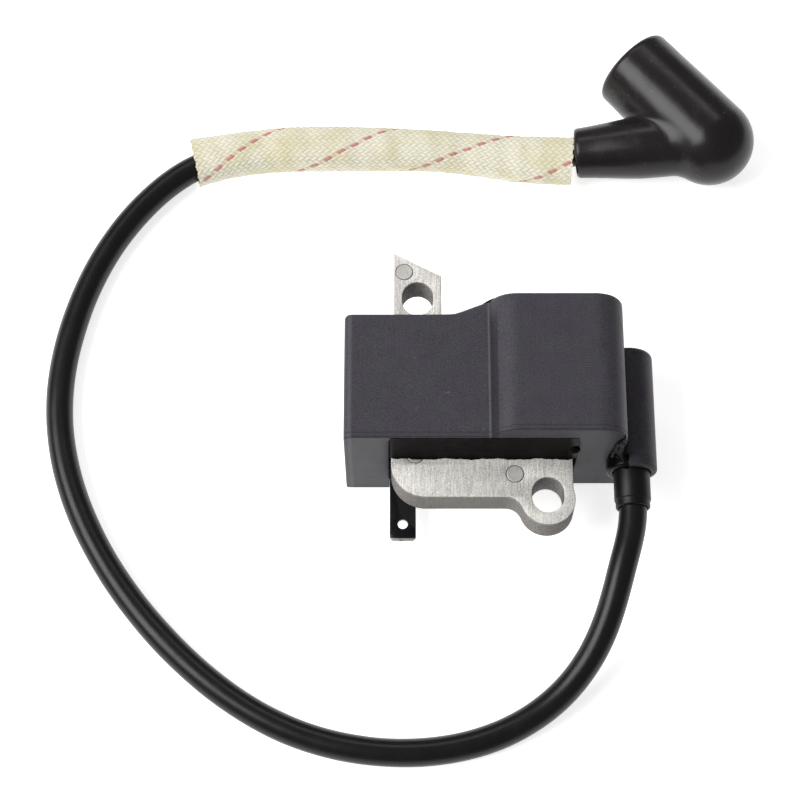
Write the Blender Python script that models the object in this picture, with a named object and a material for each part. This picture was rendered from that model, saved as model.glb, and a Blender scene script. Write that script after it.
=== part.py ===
"""Ignition coil module for a small two-stroke engine, with its high-tension lead and plug boot.

The module lies flat on a table: +Z is up, the front wall with the mounting yoke faces -Y, and the
outlet tower of the high-tension lead is on the +X side. Lengths are in metres.

Design coordinates, used by the root empty's children, have x = 0 at the middle of the core's leg,
y = 0 at the housing's front wall and z = 0 at the table. The root empty moves them so that the world
origin is under the middle of the module's box, without the lead.
"""

import math

import bpy
import bmesh
import numpy as np
from mathutils import Vector

# --- clearances -----------------------------------------------------------------------------------
FIT = 0.0003            # gap between pieces that touch
RIVET_FIT = 0.00015     # gap round a rivet in its hole
CUT = 0.002             # how far a cutter runs past what it cuts

# --- laminated core -------------------------------------------------------------------------------
CORE_THICKNESS = 0.00635
CORE_MIDDLE_Z = 0.0125
LEG_WIDTH = 0.0086
LEG_TIP_LEFT_Y = 0.0399
LEG_TIP_RIGHT_Y = 0.0353
YOKE_OVERHANG = 0.0005
YOKE_LEFT_X = -LEG_WIDTH / 2 - YOKE_OVERHANG
YOKE_RIGHT_X = 0.0272
YOKE_REAR_Y = 0.0011
YOKE_FRONT_Y = -0.0075
YOKE_CORNER_R = 0.0062
EAR_X = 0.0227
EAR_Y = -0.0078
EAR_R = 0.0048
EAR_NECK_R = 0.0030
SLOT_WIDTH = 0.0056     # for an M5 screw, with play along Y
SLOT_LENGTH = 0.0065
EAR_SLOT_Y = -0.0071
LEG_SLOT_Y = 0.03075
RIVET_R = 0.00150
RIVET_PROUD = 0.00008
RIVET_PLACES = ((-0.0024, 0.0361), (0.0170, -0.0032), (-0.0005, 0.0004))

# --- housing --------------------------------------------------------------------------------------
HOUSING_LEFT_X = -0.0130
HOUSING_RIGHT_X = 0.0362
LOW_TOP_Z = 0.0250
HIGH_TOP_Z = 0.0286
RIGHT_BOTTOM_Z = 0.0022  # the right part stands this far off the table
LEFT_BACK_Y = 0.0236
RIGHT_BACK_Y = 0.0261
STEP_FOOT_X = 0.0125
STEP_HEAD_X = 0.0141
STEP_R = 0.0054
BACK_SLANT_X = 0.0065
WALL = 0.0016
TOP_LEFT_R = 0.0013
TOP_RIGHT_R = 0.0052
PLAN_CORNER_R = 0.0010
SLOT_TOP_Z = 0.0236     # top of the front slot that the yoke and its epoxy fill

# --- outlet tower, collar and contact -------------------------------------------------------------
TOWER_X = 0.0378
TOWER_Z = 0.0125
TOWER_R = 0.00455
TOWER_FRONT_Y = -0.0020
TOWER_BACK_Y = 0.0208
TOWER_WALL_BACK = 0.0020
COLLAR_R = 0.00323
COLLAR_OUT = 0.0066     # how far the collar stands out of the tower
COLLAR_IN = 0.0034
COLLAR_CHAMFER = 0.0004

# --- epoxy ----------------------------------------------------------------------------------------
POTTING_RECESS = 0.0004
POTTING_CLEARANCE = 0.000125     # under the outer coil
POTTING_RIGHT_TOP_Z = 0.0040
BEAD_BULGE = 0.0011
BEAD_DEPTH = 0.0012
REAR_BEAD_RIM = 0.0012
REAR_BEAD_OUT = 0.0009
OUTLET_BEAD_ENDS = 0.0004
OUTLET_BEAD_BULGE = 0.0026
OUTLET_BEAD_OUT = 0.0011

# Devices on the board: places are from the board's left front corner.
CAPACITOR_PLACE = (0.0040, 0.0085)
CAPACITOR_SIZE = (0.0105, 0.0070, 0.0090)
CAPACITOR_CORNER_R = 0.0012
THYRISTOR_PLACE = (0.0100, 0.0040)
THYRISTOR_R = 0.0024
THYRISTOR_HEIGHT = 0.0046
AXIAL_WIRE_R = 0.0004
AXIAL_BODY_R = 0.0013
AXIAL_STUB = 0.0015
AXIAL_BODY = 0.0042
AXIAL_FROM_EDGE = 0.0006
DIODE_OFFSET = 0.0040
RESISTOR_OFFSET = 0.0156

# Inner wires.
INNER_WIRE_R = 0.0005
KILL_LEAD_RAMP = 0.0040
KILL_LEAD_TURN = 0.0020
KILL_LEAD_ON_BOARD = 0.0010
GROUND_LEAD_INSET = 0.0050
GROUND_LEAD_RISE = 0.0020
GROUND_LEAD_OUT = 0.0014
GROUND_LEAD_SAG = 0.0012
LINK_HOLE_R = 0.0009
LINK_RISE = 0.0060
LINK_START_BACK = 0.0010
LINK_FIRST_RUN = 0.0030
LINK_FIRST_BACK = 0.0004
LINK_LAST_RUN = 0.0030
LINK_LAST_RISE = 0.0050
LINK_THROUGH = 0.0010
LINK_PAST_BORE = 0.0012
PIN_R = 0.0008
PIN_TIP_R = 0.0002
PIN_POINT = 0.0008

# --- kill-switch blade ----------------------------------------------------------------------------
BLADE_X = -0.0027
BLADE_WIDTH = 0.0047
BLADE_THICKNESS = 0.0008
BLADE_MIDDLE_Z = 0.0043
BLADE_TIP_Y = -0.0118
BLADE_BACK_Y = 0.0040
BLADE_HOLE_R = 0.0009
BLADE_HOLE_Y = -0.0087
BLADE_CORNER_R = 0.0007

# --- coils on the leg -----------------------------------------------------------------------------
COIL_FRONT_Y = 0.0046
COIL_BACK_Y = 0.0212
BOBBIN_WALL = 0.0007
FLANGE = 0.0006
INNER_WINDING = 0.0015
CHARGE_SHARE = 0.0062   # length of the charge winding's chamber
WRAP = 0.0003
OUTER_WINDING = 0.0013
OUTER_CHAMBERS = 3

# --- electronics ----------------------------------------------------------------------------------
BOARD_X = (0.0146, 0.0326)
BOARD_Y = (0.0042, 0.0215)
BOARD_Z = 0.0046
BOARD_THICKNESS = 0.0010

# --- lead, sleeve and boot ------------------------------------------------------------------------
LEAD_R = 0.0025
LEAD_ROUNDNESS = 3      # bevel resolution of the lead's tube
LEAD_SPACING = 0.0105
LEAD_INSIDE = 0.0094    # length of lead inside the tower
TABLE_GAP = 0.0001
FALL_START = 0.0116     # distances along the lead from the tower's mouth
FALL_END = 0.0516
SLEEVE_WALL = 0.0005
SLEEVE_HALF_HEIGHT = 0.0033
SLEEVE_POWER = 2.4      # above 2 the flattened tube's section is fuller than an ellipse
SLEEVE_LIFT_LENGTH = 0.0160
BOOT_BARREL_R = 0.00838
BOOT_MOUTH_R = 0.00815
BOOT_BARREL_LENGTH = 0.0222
BOOT_SOCKET_R = 0.0052
BOOT_TUBE_END_R = 0.00475
BOOT_TUBE_R = 0.0060
BOOT_TUBE_LENGTH = 0.0257
BOOT_TUBE_RISE = 0.138  # rise of the tube for each unit of its length
BOOT_TUBE_YAW = 0.027
BOOT_BARREL_TURN = math.radians(130.6)  # barrel's direction in plan, from +X
LEAD_IN_BOOT = 0.0150
SPRING_WIRE_R = 0.0005
SPRING_R = 0.0036
SPRING_TURNS = 5
SPRING_PITCH = 0.0016
SPRING_START = 0.0015

# The lead's route seen from above, as x and y from the tower's mouth.
LEAD_ROUTE = (
    (-0.0003, -0.0096), (-0.0019, -0.0160), (-0.0057, -0.0278), (-0.0124, -0.0374),
    (-0.0229, -0.0443), (-0.0350, -0.0475), (-0.0476, -0.0473), (-0.0597, -0.0441),
    (-0.0709, -0.0379), (-0.0808, -0.0295), (-0.0895, -0.0195), (-0.0968, -0.0079),
    (-0.1019, 0.0051), (-0.1038, 0.0192), (-0.1020, 0.0335), (-0.0972, 0.0472),
    (-0.0892, 0.0591), (-0.0805, 0.0662), (-0.0700, 0.0697), (-0.0590, 0.0706),
    (-0.0470, 0.0706), (-0.0350, 0.0702), (-0.0230, 0.0694),
)
BOOT_TUBE_END = (-0.0073, 0.0686)   # middle of the tube's open end, from the tower's mouth

# The loose sleeve's middle line seen from above, with its half width: x, y and half width.
SLEEVE_ROUTE = (
    (-0.0805, 0.0674, 0.0049), (-0.0732, 0.0690, 0.0045), (-0.0644, 0.0702, 0.0045),
    (-0.0576, 0.0704, 0.0046), (-0.0474, 0.0704, 0.0045), (-0.0369, 0.0701, 0.0042),
    (-0.0267, 0.0692, 0.0043), (-0.0188, 0.0681, 0.0047), (-0.0080, 0.0670, 0.0049),
)


# --- materials ------------------------------------------------------------------------------------

def material(name, colour, roughness, metallic=0.0):
    """A plain Principled material."""
    found = bpy.data.materials.get(name)
    if found:
        return found
    made = bpy.data.materials.new(name)
    made.use_nodes = True
    shader = made.node_tree.nodes["Principled BSDF"]
    shader.inputs["Base Color"].default_value = (*colour, 1.0)
    shader.inputs["Roughness"].default_value = roughness
    shader.inputs["Metallic"].default_value = metallic
    made.diffuse_color = (*colour, 1.0)
    return made


def nylon():
    return material("housing_nylon", (0.060, 0.058, 0.066), 0.55)


def epoxy():
    return material("potting_epoxy", (0.006, 0.006, 0.007), 0.12)


def core_steel():
    return material("core_steel", (0.56, 0.54, 0.50), 0.42, 0.9)


def blade_steel():
    return material("blade_steel", (0.02, 0.02, 0.025), 0.2, 0.8)


def bobbin_plastic():
    return material("bobbin_plastic", (0.70, 0.66, 0.56), 0.5)


def copper():
    return material("copper_wire", (0.60, 0.24, 0.10), 0.35, 0.9)


def rubber():
    return material("black_rubber", (0.012, 0.012, 0.013), 0.42)


def fibreglass():
    return material("fibreglass_braid", (0.78, 0.73, 0.50), 0.8)


# --- outlines -------------------------------------------------------------------------------------

def arc(centre, radius, start, end, steps):
    """Points on a circle from one angle to another, in degrees, both ends included."""
    angles = np.radians(np.linspace(start, end, steps + 1))
    return [(centre[0] + radius * math.cos(a), centre[1] + radius * math.sin(a)) for a in angles]


def rounded(corners, steps=3):
    """An outline through corners given as (x, y, radius), each corner turned into an arc."""
    outline = []
    count = len(corners)
    for i, (x, y, radius) in enumerate(corners):
        here = Vector((x, y))
        before = (Vector(corners[i - 1][:2]) - here).normalized()
        after = (Vector(corners[(i + 1) % count][:2]) - here).normalized()
        if radius == 0.0:
            outline.append((x, y))
            continue
        half = before.angle(after) / 2
        centre = here + (before + after).normalized() * radius / math.sin(half)
        start = here + before * radius / math.tan(half) - centre
        turn = start.angle_signed(here + after * radius / math.tan(half) - centre)
        first = math.atan2(start.y, start.x)
        for k in range(steps + 1):
            angle = first - turn * k / steps
            outline.append((centre.x + radius * math.cos(angle), centre.y + radius * math.sin(angle)))
    return outline


def rounded_rectangle(half_width, half_height, radius, steps=3):
    return rounded([
        (half_width, -half_height, radius), (half_width, half_height, radius),
        (-half_width, half_height, radius), (-half_width, -half_height, radius)], steps)


def slot_outline(x, y, width, length, steps=8):
    """A slot along Y with round ends."""
    reach = (length - width) / 2
    return arc((x, y + reach), width / 2, 0, 180, steps) + arc((x, y - reach), width / 2, 180, 360, steps)


# --- solids ---------------------------------------------------------------------------------------

def put(name, bm, finish, parent, smooth=40):
    """A mesh object with its faces pointing out."""
    bmesh.ops.recalc_face_normals(bm, faces=bm.faces)
    mesh = bpy.data.meshes.new(name)
    bm.to_mesh(mesh)
    bm.free()
    mesh.shade_smooth()
    mesh.set_sharp_from_angle(angle=math.radians(smooth))
    made = bpy.data.objects.new(name, mesh)
    bpy.context.collection.objects.link(made)
    if finish:
        mesh.materials.append(finish)
    made.parent = parent
    return made


def prism(name, outline, low, high, finish, parent, along="Z"):
    """An outline extruded along an axis: (x, y) outlines along Z, (x, z) along Y, (y, z) along X."""
    place = {
        "Z": lambda a, b, t: (a, b, t),
        "Y": lambda a, b, t: (a, t, b),
        "X": lambda a, b, t: (t, a, b),
    }[along]
    bm = bmesh.new()
    base = bm.faces.new([bm.verts.new(place(a, b, low)) for a, b in outline])
    grown = bmesh.ops.extrude_face_region(bm, geom=[base])["geom"]
    step = Vector(place(0, 0, high)) - Vector(place(0, 0, low))
    bmesh.ops.translate(bm, vec=step, verts=[v for v in grown if isinstance(v, bmesh.types.BMVert)])
    return put(name, bm, finish, parent)


def box(name, x, y, z, finish, parent):
    outline = [(x[0], y[0]), (x[1], y[0]), (x[1], y[1]), (x[0], y[1])]
    return prism(name, outline, z[0], z[1], finish, parent)


def skin(bm, rings, closed_way):
    """Faces between rings of vertices; closed_way also joins the last ring to the first."""
    pairs = list(zip(rings, rings[1:]))
    if closed_way:
        pairs.append((rings[-1], rings[0]))
    for first, second in pairs:
        for i in range(len(first)):
            j = (i + 1) % len(first)
            bm.faces.new((first[i], first[j], second[j], second[i]))


def frame_ring(name, stations, hole, radius, finish, parent, middle=(0.0, CORE_MIDDLE_Z)):
    """A rounded rectangular tube along Y. stations are (y, half width, half height) of the outside."""
    bm = bmesh.new()
    rings = []
    outside = [(y, w, h, radius) for y, w, h in stations]
    inside = [(y, hole[0], hole[1], min(radius, hole[1] / 2)) for y in (stations[-1][0], stations[0][0])]
    for y, w, h, r in outside + inside:
        outline = rounded_rectangle(w, h, r)
        rings.append([bm.verts.new((middle[0] + a, y, middle[1] + b)) for a, b in outline])
    skin(bm, rings, True)
    return put(name, bm, finish, parent)


def turned(name, profile, start, direction, finish, parent, sides=24):
    """A profile of (distance along, radius) turned about an axis; a radius of 0 closes an end."""
    bm = bmesh.new()
    turn = Vector((0, 0, 1)).rotation_difference(Vector(direction)).to_matrix()
    rings = []
    for distance, radius in profile:
        if radius == 0.0:
            rings.append([bm.verts.new(Vector(start) + turn @ Vector((0, 0, distance)))])
            continue
        rings.append([
            bm.verts.new(Vector(start) + turn @ Vector((
                radius * math.cos(math.tau * k / sides), radius * math.sin(math.tau * k / sides), distance)))
            for k in range(sides)])
    for first, second in zip(rings, rings[1:]):
        for i in range(sides):
            j = (i + 1) % sides
            corners = [first[i % len(first)], first[j % len(first)],
                       second[j % len(second)], second[i % len(second)]]
            bm.faces.new(list(dict.fromkeys(corners)))
    for ring in (rings[0], rings[-1]):
        if len(ring) > 1:
            bm.faces.new(ring)
    return put(name, bm, finish, parent)


def wire(name, points, radius, finish, parent, resolution=2):
    """A round wire along points, as a filled curve."""
    curve = bpy.data.curves.new(name, "CURVE")
    curve.dimensions = "3D"
    curve.bevel_depth = radius
    curve.bevel_resolution = resolution
    curve.use_fill_caps = True
    spline = curve.splines.new("POLY")
    spline.points.add(len(points) - 1)
    for point, place in zip(spline.points, points):
        point.co = (*place, 1.0)
    curve.materials.append(finish)
    made = bpy.data.objects.new(name, curve)
    bpy.context.collection.objects.link(made)
    made.parent = parent
    return made


def combine(target, operation, other):
    """A Boolean on target; the other solid stays as a hidden guide."""
    change = target.modifiers.new(other.name, "BOOLEAN")
    change.operation = operation
    change.solver = "EXACT"
    change.object = other
    other.hide_render = True
    other.display_type = "WIRE"


# --- core -----------------------------------------------------------------------------------------

def core_low():
    return CORE_MIDDLE_Z - CORE_THICKNESS / 2


def core_high():
    return CORE_MIDDLE_Z + CORE_THICKNESS / 2


def core_outline():
    """The sheet's outline: the leg, the yoke with its round corner, and the ear on its neck."""
    half = LEG_WIDTH / 2
    neck_drop = EAR_Y - (YOKE_FRONT_Y - EAR_NECK_R)
    neck_x = EAR_X - math.sqrt((EAR_R + EAR_NECK_R) ** 2 - neck_drop ** 2)
    neck_y = YOKE_FRONT_Y - EAR_NECK_R
    neck_angle = math.degrees(math.atan2(neck_drop, EAR_X - neck_x))
    edge_angle = math.degrees(math.acos((YOKE_RIGHT_X - EAR_X) / EAR_R))
    corner = (YOKE_LEFT_X + YOKE_CORNER_R, YOKE_FRONT_Y + YOKE_CORNER_R)
    outline = [(-half, LEG_TIP_LEFT_Y), (half, LEG_TIP_RIGHT_Y), (half, YOKE_REAR_Y)]
    outline.append((YOKE_RIGHT_X, YOKE_REAR_Y))
    outline += arc((EAR_X, EAR_Y), EAR_R, edge_angle, neck_angle - 180, 18)
    outline += arc((neck_x, neck_y), EAR_NECK_R, neck_angle, 90, 5)[1:]
    outline += arc(corner, YOKE_CORNER_R, 270, 180, 9)
    outline += [(YOKE_LEFT_X, YOKE_REAR_Y), (-half, YOKE_REAR_Y + (-half - YOKE_LEFT_X))]
    return outline


def build_core(root):
    low, high = core_low(), core_high()
    core = prism("laminated_core", core_outline(), low, high, core_steel(), root)
    slots = ((EAR_X, EAR_SLOT_Y), (0.0, LEG_SLOT_Y))
    for i, (x, y) in enumerate(slots):
        outline = slot_outline(x, y, SLOT_WIDTH, SLOT_LENGTH)
        cutter = prism(f"slot_cutter_{i + 1}", outline, low - CUT, high + CUT, None, root)
        combine(core, "DIFFERENCE", cutter)
    for i, (x, y) in enumerate(RIVET_PLACES):
        length = high - low + 2 * RIVET_PROUD
        hole = [(0.0, RIVET_R + RIVET_FIT), (length + 2 * CUT, RIVET_R + RIVET_FIT)]
        start = (x, y, low - RIVET_PROUD)
        cutter = turned(f"rivet_cutter_{i + 1}", hole, (x, y, low - CUT), (0, 0, 1), None, root, 16)
        combine(core, "DIFFERENCE", cutter)
        turned(f"core_rivet_{i + 1}", [(0.0, RIVET_R), (length, RIVET_R)], start, (0, 0, 1),
               core_steel(), root, 16)


# --- housing --------------------------------------------------------------------------------------

def housing_plan(inset, corner):
    """The housing from above, with a slanted step in its back wall."""
    left, right = HOUSING_LEFT_X + inset, HOUSING_RIGHT_X - inset
    left_back, right_back = LEFT_BACK_Y - inset, RIGHT_BACK_Y - inset
    return rounded([
        (left, inset, corner), (right, inset, corner), (right, right_back, corner),
        (STEP_FOOT_X, right_back, 0.0), (BACK_SLANT_X, left_back, 0.0), (left, left_back, corner)])


def housing_profile(inset, bottom, right_bottom):
    """The housing from the front: low on the left, a step, high on the right with a large round corner."""
    left, right = HOUSING_LEFT_X + inset, HOUSING_RIGHT_X - inset
    low_top, high_top = LOW_TOP_Z - inset, HIGH_TOP_Z - inset
    foot, head = STEP_FOOT_X + inset / 2, STEP_HEAD_X + inset / 2
    shrink = 1 - inset / TOP_RIGHT_R
    return rounded([
        (left, bottom, 0.0), (STEP_FOOT_X, bottom, 0.0), (STEP_FOOT_X, right_bottom, 0.0),
        (right, right_bottom, 0.0), (right, high_top, TOP_RIGHT_R * shrink),
        (head, high_top, STEP_R * shrink), (foot, low_top, 0.0),
        (left, low_top, max(TOP_LEFT_R - inset, 0.0))], 6)


def housing_form(name, inset, bottom, right_bottom, corner, finish, root):
    """The solid between the front profile and the plan, both drawn in by inset."""
    profile = housing_profile(inset, bottom, right_bottom)
    form = prism(name, profile, inset, RIGHT_BACK_Y - inset, finish, root, "Y")
    plan = prism(f"{name}_plan", housing_plan(inset, corner), bottom - CUT, HIGH_TOP_Z + CUT, None, root)
    combine(form, "INTERSECT", plan)
    return form


def collar_end_y():
    return TOWER_FRONT_Y - COLLAR_OUT


def build_housing(root):
    shell = housing_form("housing_shell", 0.0, 0.0, RIGHT_BOTTOM_Z, PLAN_CORNER_R, nylon(), root)
    along = (0, 1, 0)
    tower_length = TOWER_BACK_Y - TOWER_FRONT_Y
    start = (TOWER_X, TOWER_FRONT_Y, TOWER_Z)
    tower = turned("tower_form", [(0.0, TOWER_R), (tower_length, TOWER_R)], start, along, None, root, 28)
    combine(shell, "UNION", tower)
    cavity = housing_form("cavity_cutter", WALL, -CUT, -CUT / 2, PLAN_CORNER_R / 2, None, root)
    tube_keep = [(0.0, TOWER_R), (tower_length, TOWER_R)]
    keep = turned("tower_keep", tube_keep, start, along, None, root, 28)
    combine(cavity, "DIFFERENCE", keep)
    combine(shell, "DIFFERENCE", cavity)
    bore = LEAD_R + FIT
    mouth = COLLAR_R + FIT
    depth = tower_length - TOWER_WALL_BACK
    profile = [(-CUT, mouth), (COLLAR_IN + FIT, mouth), (COLLAR_IN + FIT, bore), (depth, bore)]
    combine(shell, "DIFFERENCE", turned("bore_cutter", profile, start, along, None, root, 20))
    front = box("front_cutter", (YOKE_LEFT_X - FIT, EAR_X + EAR_R + FIT), (-CUT, WALL + CUT),
                (-CUT, SLOT_TOP_Z), None, root)
    combine(shell, "DIFFERENCE", front)
    half = LEG_WIDTH / 2 + FIT
    rear = box("rear_cutter", (-half, half), (LEFT_BACK_Y - WALL - CUT / 2, LEFT_BACK_Y + CUT),
               (-CUT, core_high() + FIT), None, root)
    combine(shell, "DIFFERENCE", rear)
    link = [(0.0, LINK_HOLE_R), (TOWER_R + CUT, LINK_HOLE_R)]
    start = (TOWER_X - TOWER_R - CUT, link_y(), TOWER_Z)
    hole = turned("link_cutter", link, start, (1, 0, 0), None, root, 10)
    combine(shell, "DIFFERENCE", hole)


# --- epoxy ----------------------------------------------------------------------------------------

def potting_top():
    """Top of the epoxy floor under the coils."""
    return CORE_MIDDLE_Z - coil_sizes()["outer_coil"][1] - POTTING_CLEARANCE


def build_epoxy(root):
    gap = WALL + FIT
    right = POTTING_RECESS + RIGHT_BOTTOM_Z
    base = prism("potting_base", housing_plan(gap, PLAN_CORNER_R / 2), POTTING_RECESS, POTTING_RIGHT_TOP_Z,
                 epoxy(), root)
    combine(base, "DIFFERENCE", box(
        "left_top_cutter", (HOUSING_LEFT_X, STEP_FOOT_X), (-CUT, RIGHT_BACK_Y + CUT),
        (potting_top(), POTTING_RIGHT_TOP_Z + CUT), None, root))
    top = core_low() - FIT
    combine(base, "UNION", box(
        "front_stand", (YOKE_LEFT_X, EAR_X + EAR_R), (FIT, gap + FIT), (POTTING_RECESS, top), None, root))
    half = LEG_WIDTH / 2
    combine(base, "UNION", box(
        "rear_stand", (-half, half), (LEFT_BACK_Y - gap - FIT, LEFT_BACK_Y), (POTTING_RECESS, top),
        None, root))
    combine(base, "DIFFERENCE", box(
        "right_bottom_cutter", (STEP_FOOT_X, HOUSING_RIGHT_X), (-CUT, RIGHT_BACK_Y + CUT), (-CUT, right),
        None, root))
    side = BLADE_WIDTH / 2 + FIT
    tall = BLADE_THICKNESS / 2 + FIT
    slit = box("blade_slit", (BLADE_X - side, BLADE_X + side), (-CUT, gap + 2 * CUT),
               (BLADE_MIDDLE_Z - tall, BLADE_MIDDLE_Z + tall), None, root)
    combine(base, "DIFFERENCE", slit)

    low, high = core_high() + FIT, SLOT_TOP_Z - FIT
    curve = [(-BEAD_BULGE * math.sin(math.pi * k / 8), low + (high - low) * k / 8) for k in range(9)]
    outline = [(BEAD_DEPTH, high), (BEAD_DEPTH, low)] + curve
    prism("front_potting_bead", outline, YOKE_LEFT_X, EAR_X + EAR_R, epoxy(), root, "X")

    hole = (half + FIT, CORE_THICKNESS / 2 + FIT)
    rim = REAR_BEAD_RIM
    start = LEFT_BACK_Y + FIT
    stations = [
        (start, hole[0] + rim, hole[1] + rim),
        (start + REAR_BEAD_OUT * 0.5, hole[0] + rim * 0.8, hole[1] + rim * 0.8),
        (start + REAR_BEAD_OUT, hole[0] + rim * 0.3, hole[1] + rim * 0.3)]
    frame_ring("rear_potting_bead", stations, hole, 0.0008, epoxy(), root)

    low, high = TOWER_Z + TOWER_R + FIT, LOW_TOP_Z
    back, out = -FIT, -OUTLET_BEAD_OUT
    left = [(HOUSING_RIGHT_X - OUTLET_BEAD_ENDS - OUTLET_BEAD_BULGE * math.sin(math.pi * k / 8),
             low + (high - low) * k / 8) for k in range(9)]
    bead = [(HOUSING_RIGHT_X, high), (HOUSING_RIGHT_X, low)] + left
    prism("outlet_potting_bead", bead, out, back, epoxy(), root, "Y")


# --- blade ----------------------------------------------------------------------------------------

def build_blade(root):
    side = BLADE_WIDTH / 2
    outline = rounded([
        (BLADE_X - side, BLADE_TIP_Y, BLADE_CORNER_R), (BLADE_X + side, BLADE_TIP_Y, BLADE_CORNER_R),
        (BLADE_X + side, BLADE_BACK_Y, 0.0), (BLADE_X - side, BLADE_BACK_Y, 0.0)])
    low, high = BLADE_MIDDLE_Z - BLADE_THICKNESS / 2, BLADE_MIDDLE_Z + BLADE_THICKNESS / 2
    blade = prism("kill_switch_blade", outline, low, high, blade_steel(), root)
    hole = [(0.0, BLADE_HOLE_R), (BLADE_THICKNESS + 2 * CUT, BLADE_HOLE_R)]
    start = (BLADE_X, BLADE_HOLE_Y, low - CUT)
    cutter = turned("blade_hole_cutter", hole, start, (0, 0, 1), None, root, 16)
    combine(blade, "DIFFERENCE", cutter)


# --- coils ----------------------------------------------------------------------------------------

def bobbin_stations(chambers, core_w, core_h, rim_w, rim_h):
    """The outside of a bobbin: a rim at each end and between its chambers, given as (start, end)."""
    stations = [(COIL_FRONT_Y, rim_w, rim_h)]
    for start, end in chambers:
        stations += [(start, rim_w, rim_h), (start, core_w, core_h),
                     (end, core_w, core_h), (end, rim_w, rim_h)]
    stations.append((COIL_BACK_Y, rim_w, rim_h))
    return stations


def chamber_ends(lengths):
    """Chambers one after another along the coil, with a flange before, between and after them."""
    ends = []
    start = COIL_FRONT_Y + FLANGE
    for length in lengths:
        ends.append((start, start + length))
        start += length + FLANGE
    return ends


def coil_sizes():
    """Half width and half height of each layer over the core's leg, from the inside out."""
    sizes = {}
    w, h = LEG_WIDTH / 2 + FIT, CORE_THICKNESS / 2 + FIT
    for name, step in (
            ("inner_hole", 0.0), ("inner_wall", BOBBIN_WALL), ("inner_coil_hole", FIT),
            ("inner_coil", INNER_WINDING), ("wrap_hole", FIT), ("wrap", WRAP), ("outer_hole", FIT),
            ("outer_wall", BOBBIN_WALL), ("outer_coil_hole", FIT), ("outer_coil", OUTER_WINDING)):
        w, h = w + step, h + step
        sizes[name] = (w, h)
    return sizes


def build_coils(root):
    sizes = coil_sizes()
    total = COIL_BACK_Y - COIL_FRONT_Y
    lengths = [CHARGE_SHARE, total - 3 * FLANGE - CHARGE_SHARE]
    inner = chamber_ends(lengths)
    frame_ring("inner_bobbin", bobbin_stations(inner, *sizes["inner_wall"], *sizes["inner_coil"]),
               sizes["inner_hole"], 0.0005, bobbin_plastic(), root)
    for name, (start, end) in zip(("charge_winding", "primary_winding"), inner):
        stations = [(start + FIT, *sizes["inner_coil"]), (end - FIT, *sizes["inner_coil"])]
        frame_ring(name, stations, sizes["inner_coil_hole"], 0.0008, copper(), root)
    stations = [(COIL_FRONT_Y, *sizes["wrap"]), (COIL_BACK_Y, *sizes["wrap"])]
    frame_ring("insulating_wrap", stations, sizes["wrap_hole"], 0.0008, fibreglass(), root)
    share = (total - (OUTER_CHAMBERS + 1) * FLANGE) / OUTER_CHAMBERS
    outer = chamber_ends([share] * OUTER_CHAMBERS)
    frame_ring("secondary_bobbin", bobbin_stations(outer, *sizes["outer_wall"], *sizes["outer_coil"]),
               sizes["outer_hole"], 0.0010, bobbin_plastic(), root)
    for i, (start, end) in enumerate(outer):
        stations = [(start + FIT, *sizes["outer_coil"]), (end - FIT, *sizes["outer_coil"])]
        frame_ring(f"secondary_winding_{i + 1}", stations, sizes["outer_coil_hole"], 0.0012, copper(), root)


# --- electronics and inner wires ------------------------------------------------------------------

def link_y():
    return TOWER_BACK_Y - TOWER_WALL_BACK - 0.0014


def build_electronics(root):
    top = BOARD_Z + BOARD_THICKNESS
    board = material("board_laminate", (0.05, 0.20, 0.09), 0.5)
    box("circuit_board", BOARD_X, BOARD_Y, (BOARD_Z, top), board, root)
    seat = top + FIT
    x, y = BOARD_X[0], BOARD_Y[0]
    film = material("capacitor_film", (0.55, 0.12, 0.06), 0.35)
    left, near = x + CAPACITOR_PLACE[0], y + CAPACITOR_PLACE[1]
    right, far = left + CAPACITOR_SIZE[0], near + CAPACITOR_SIZE[1]
    capacitor = rounded([(a, b, CAPACITOR_CORNER_R) for a, b in (
        (left, near), (right, near), (right, far), (left, far))])
    prism("storage_capacitor", capacitor, seat, seat + CAPACITOR_SIZE[2], film, root)
    black = material("device_epoxy", (0.03, 0.03, 0.03), 0.4)
    middle = (x + THYRISTOR_PLACE[0], y + THYRISTOR_PLACE[1])
    body = arc(middle, THYRISTOR_R, -40, 220, 10)
    prism("thyristor", body, seat, seat + THYRISTOR_HEIGHT, black, root)
    first, last = AXIAL_STUB, AXIAL_STUB + AXIAL_BODY
    ends = [(0.0, AXIAL_WIRE_R), (first, AXIAL_WIRE_R), (first, AXIAL_BODY_R), (last, AXIAL_BODY_R),
            (last, AXIAL_WIRE_R), (last + AXIAL_STUB, AXIAL_WIRE_R)]
    start, raised = y + AXIAL_FROM_EDGE, seat + AXIAL_BODY_R
    turned("rectifier_diode", ends, (x + DIODE_OFFSET, start, raised), (0, 1, 0), black, root, 12)
    tan = material("resistor_coat", (0.62, 0.50, 0.33), 0.5)
    turned("trigger_resistor", ends, (x + RESISTOR_OFFSET, start, raised), (0, 1, 0), tan, root, 12)


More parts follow.
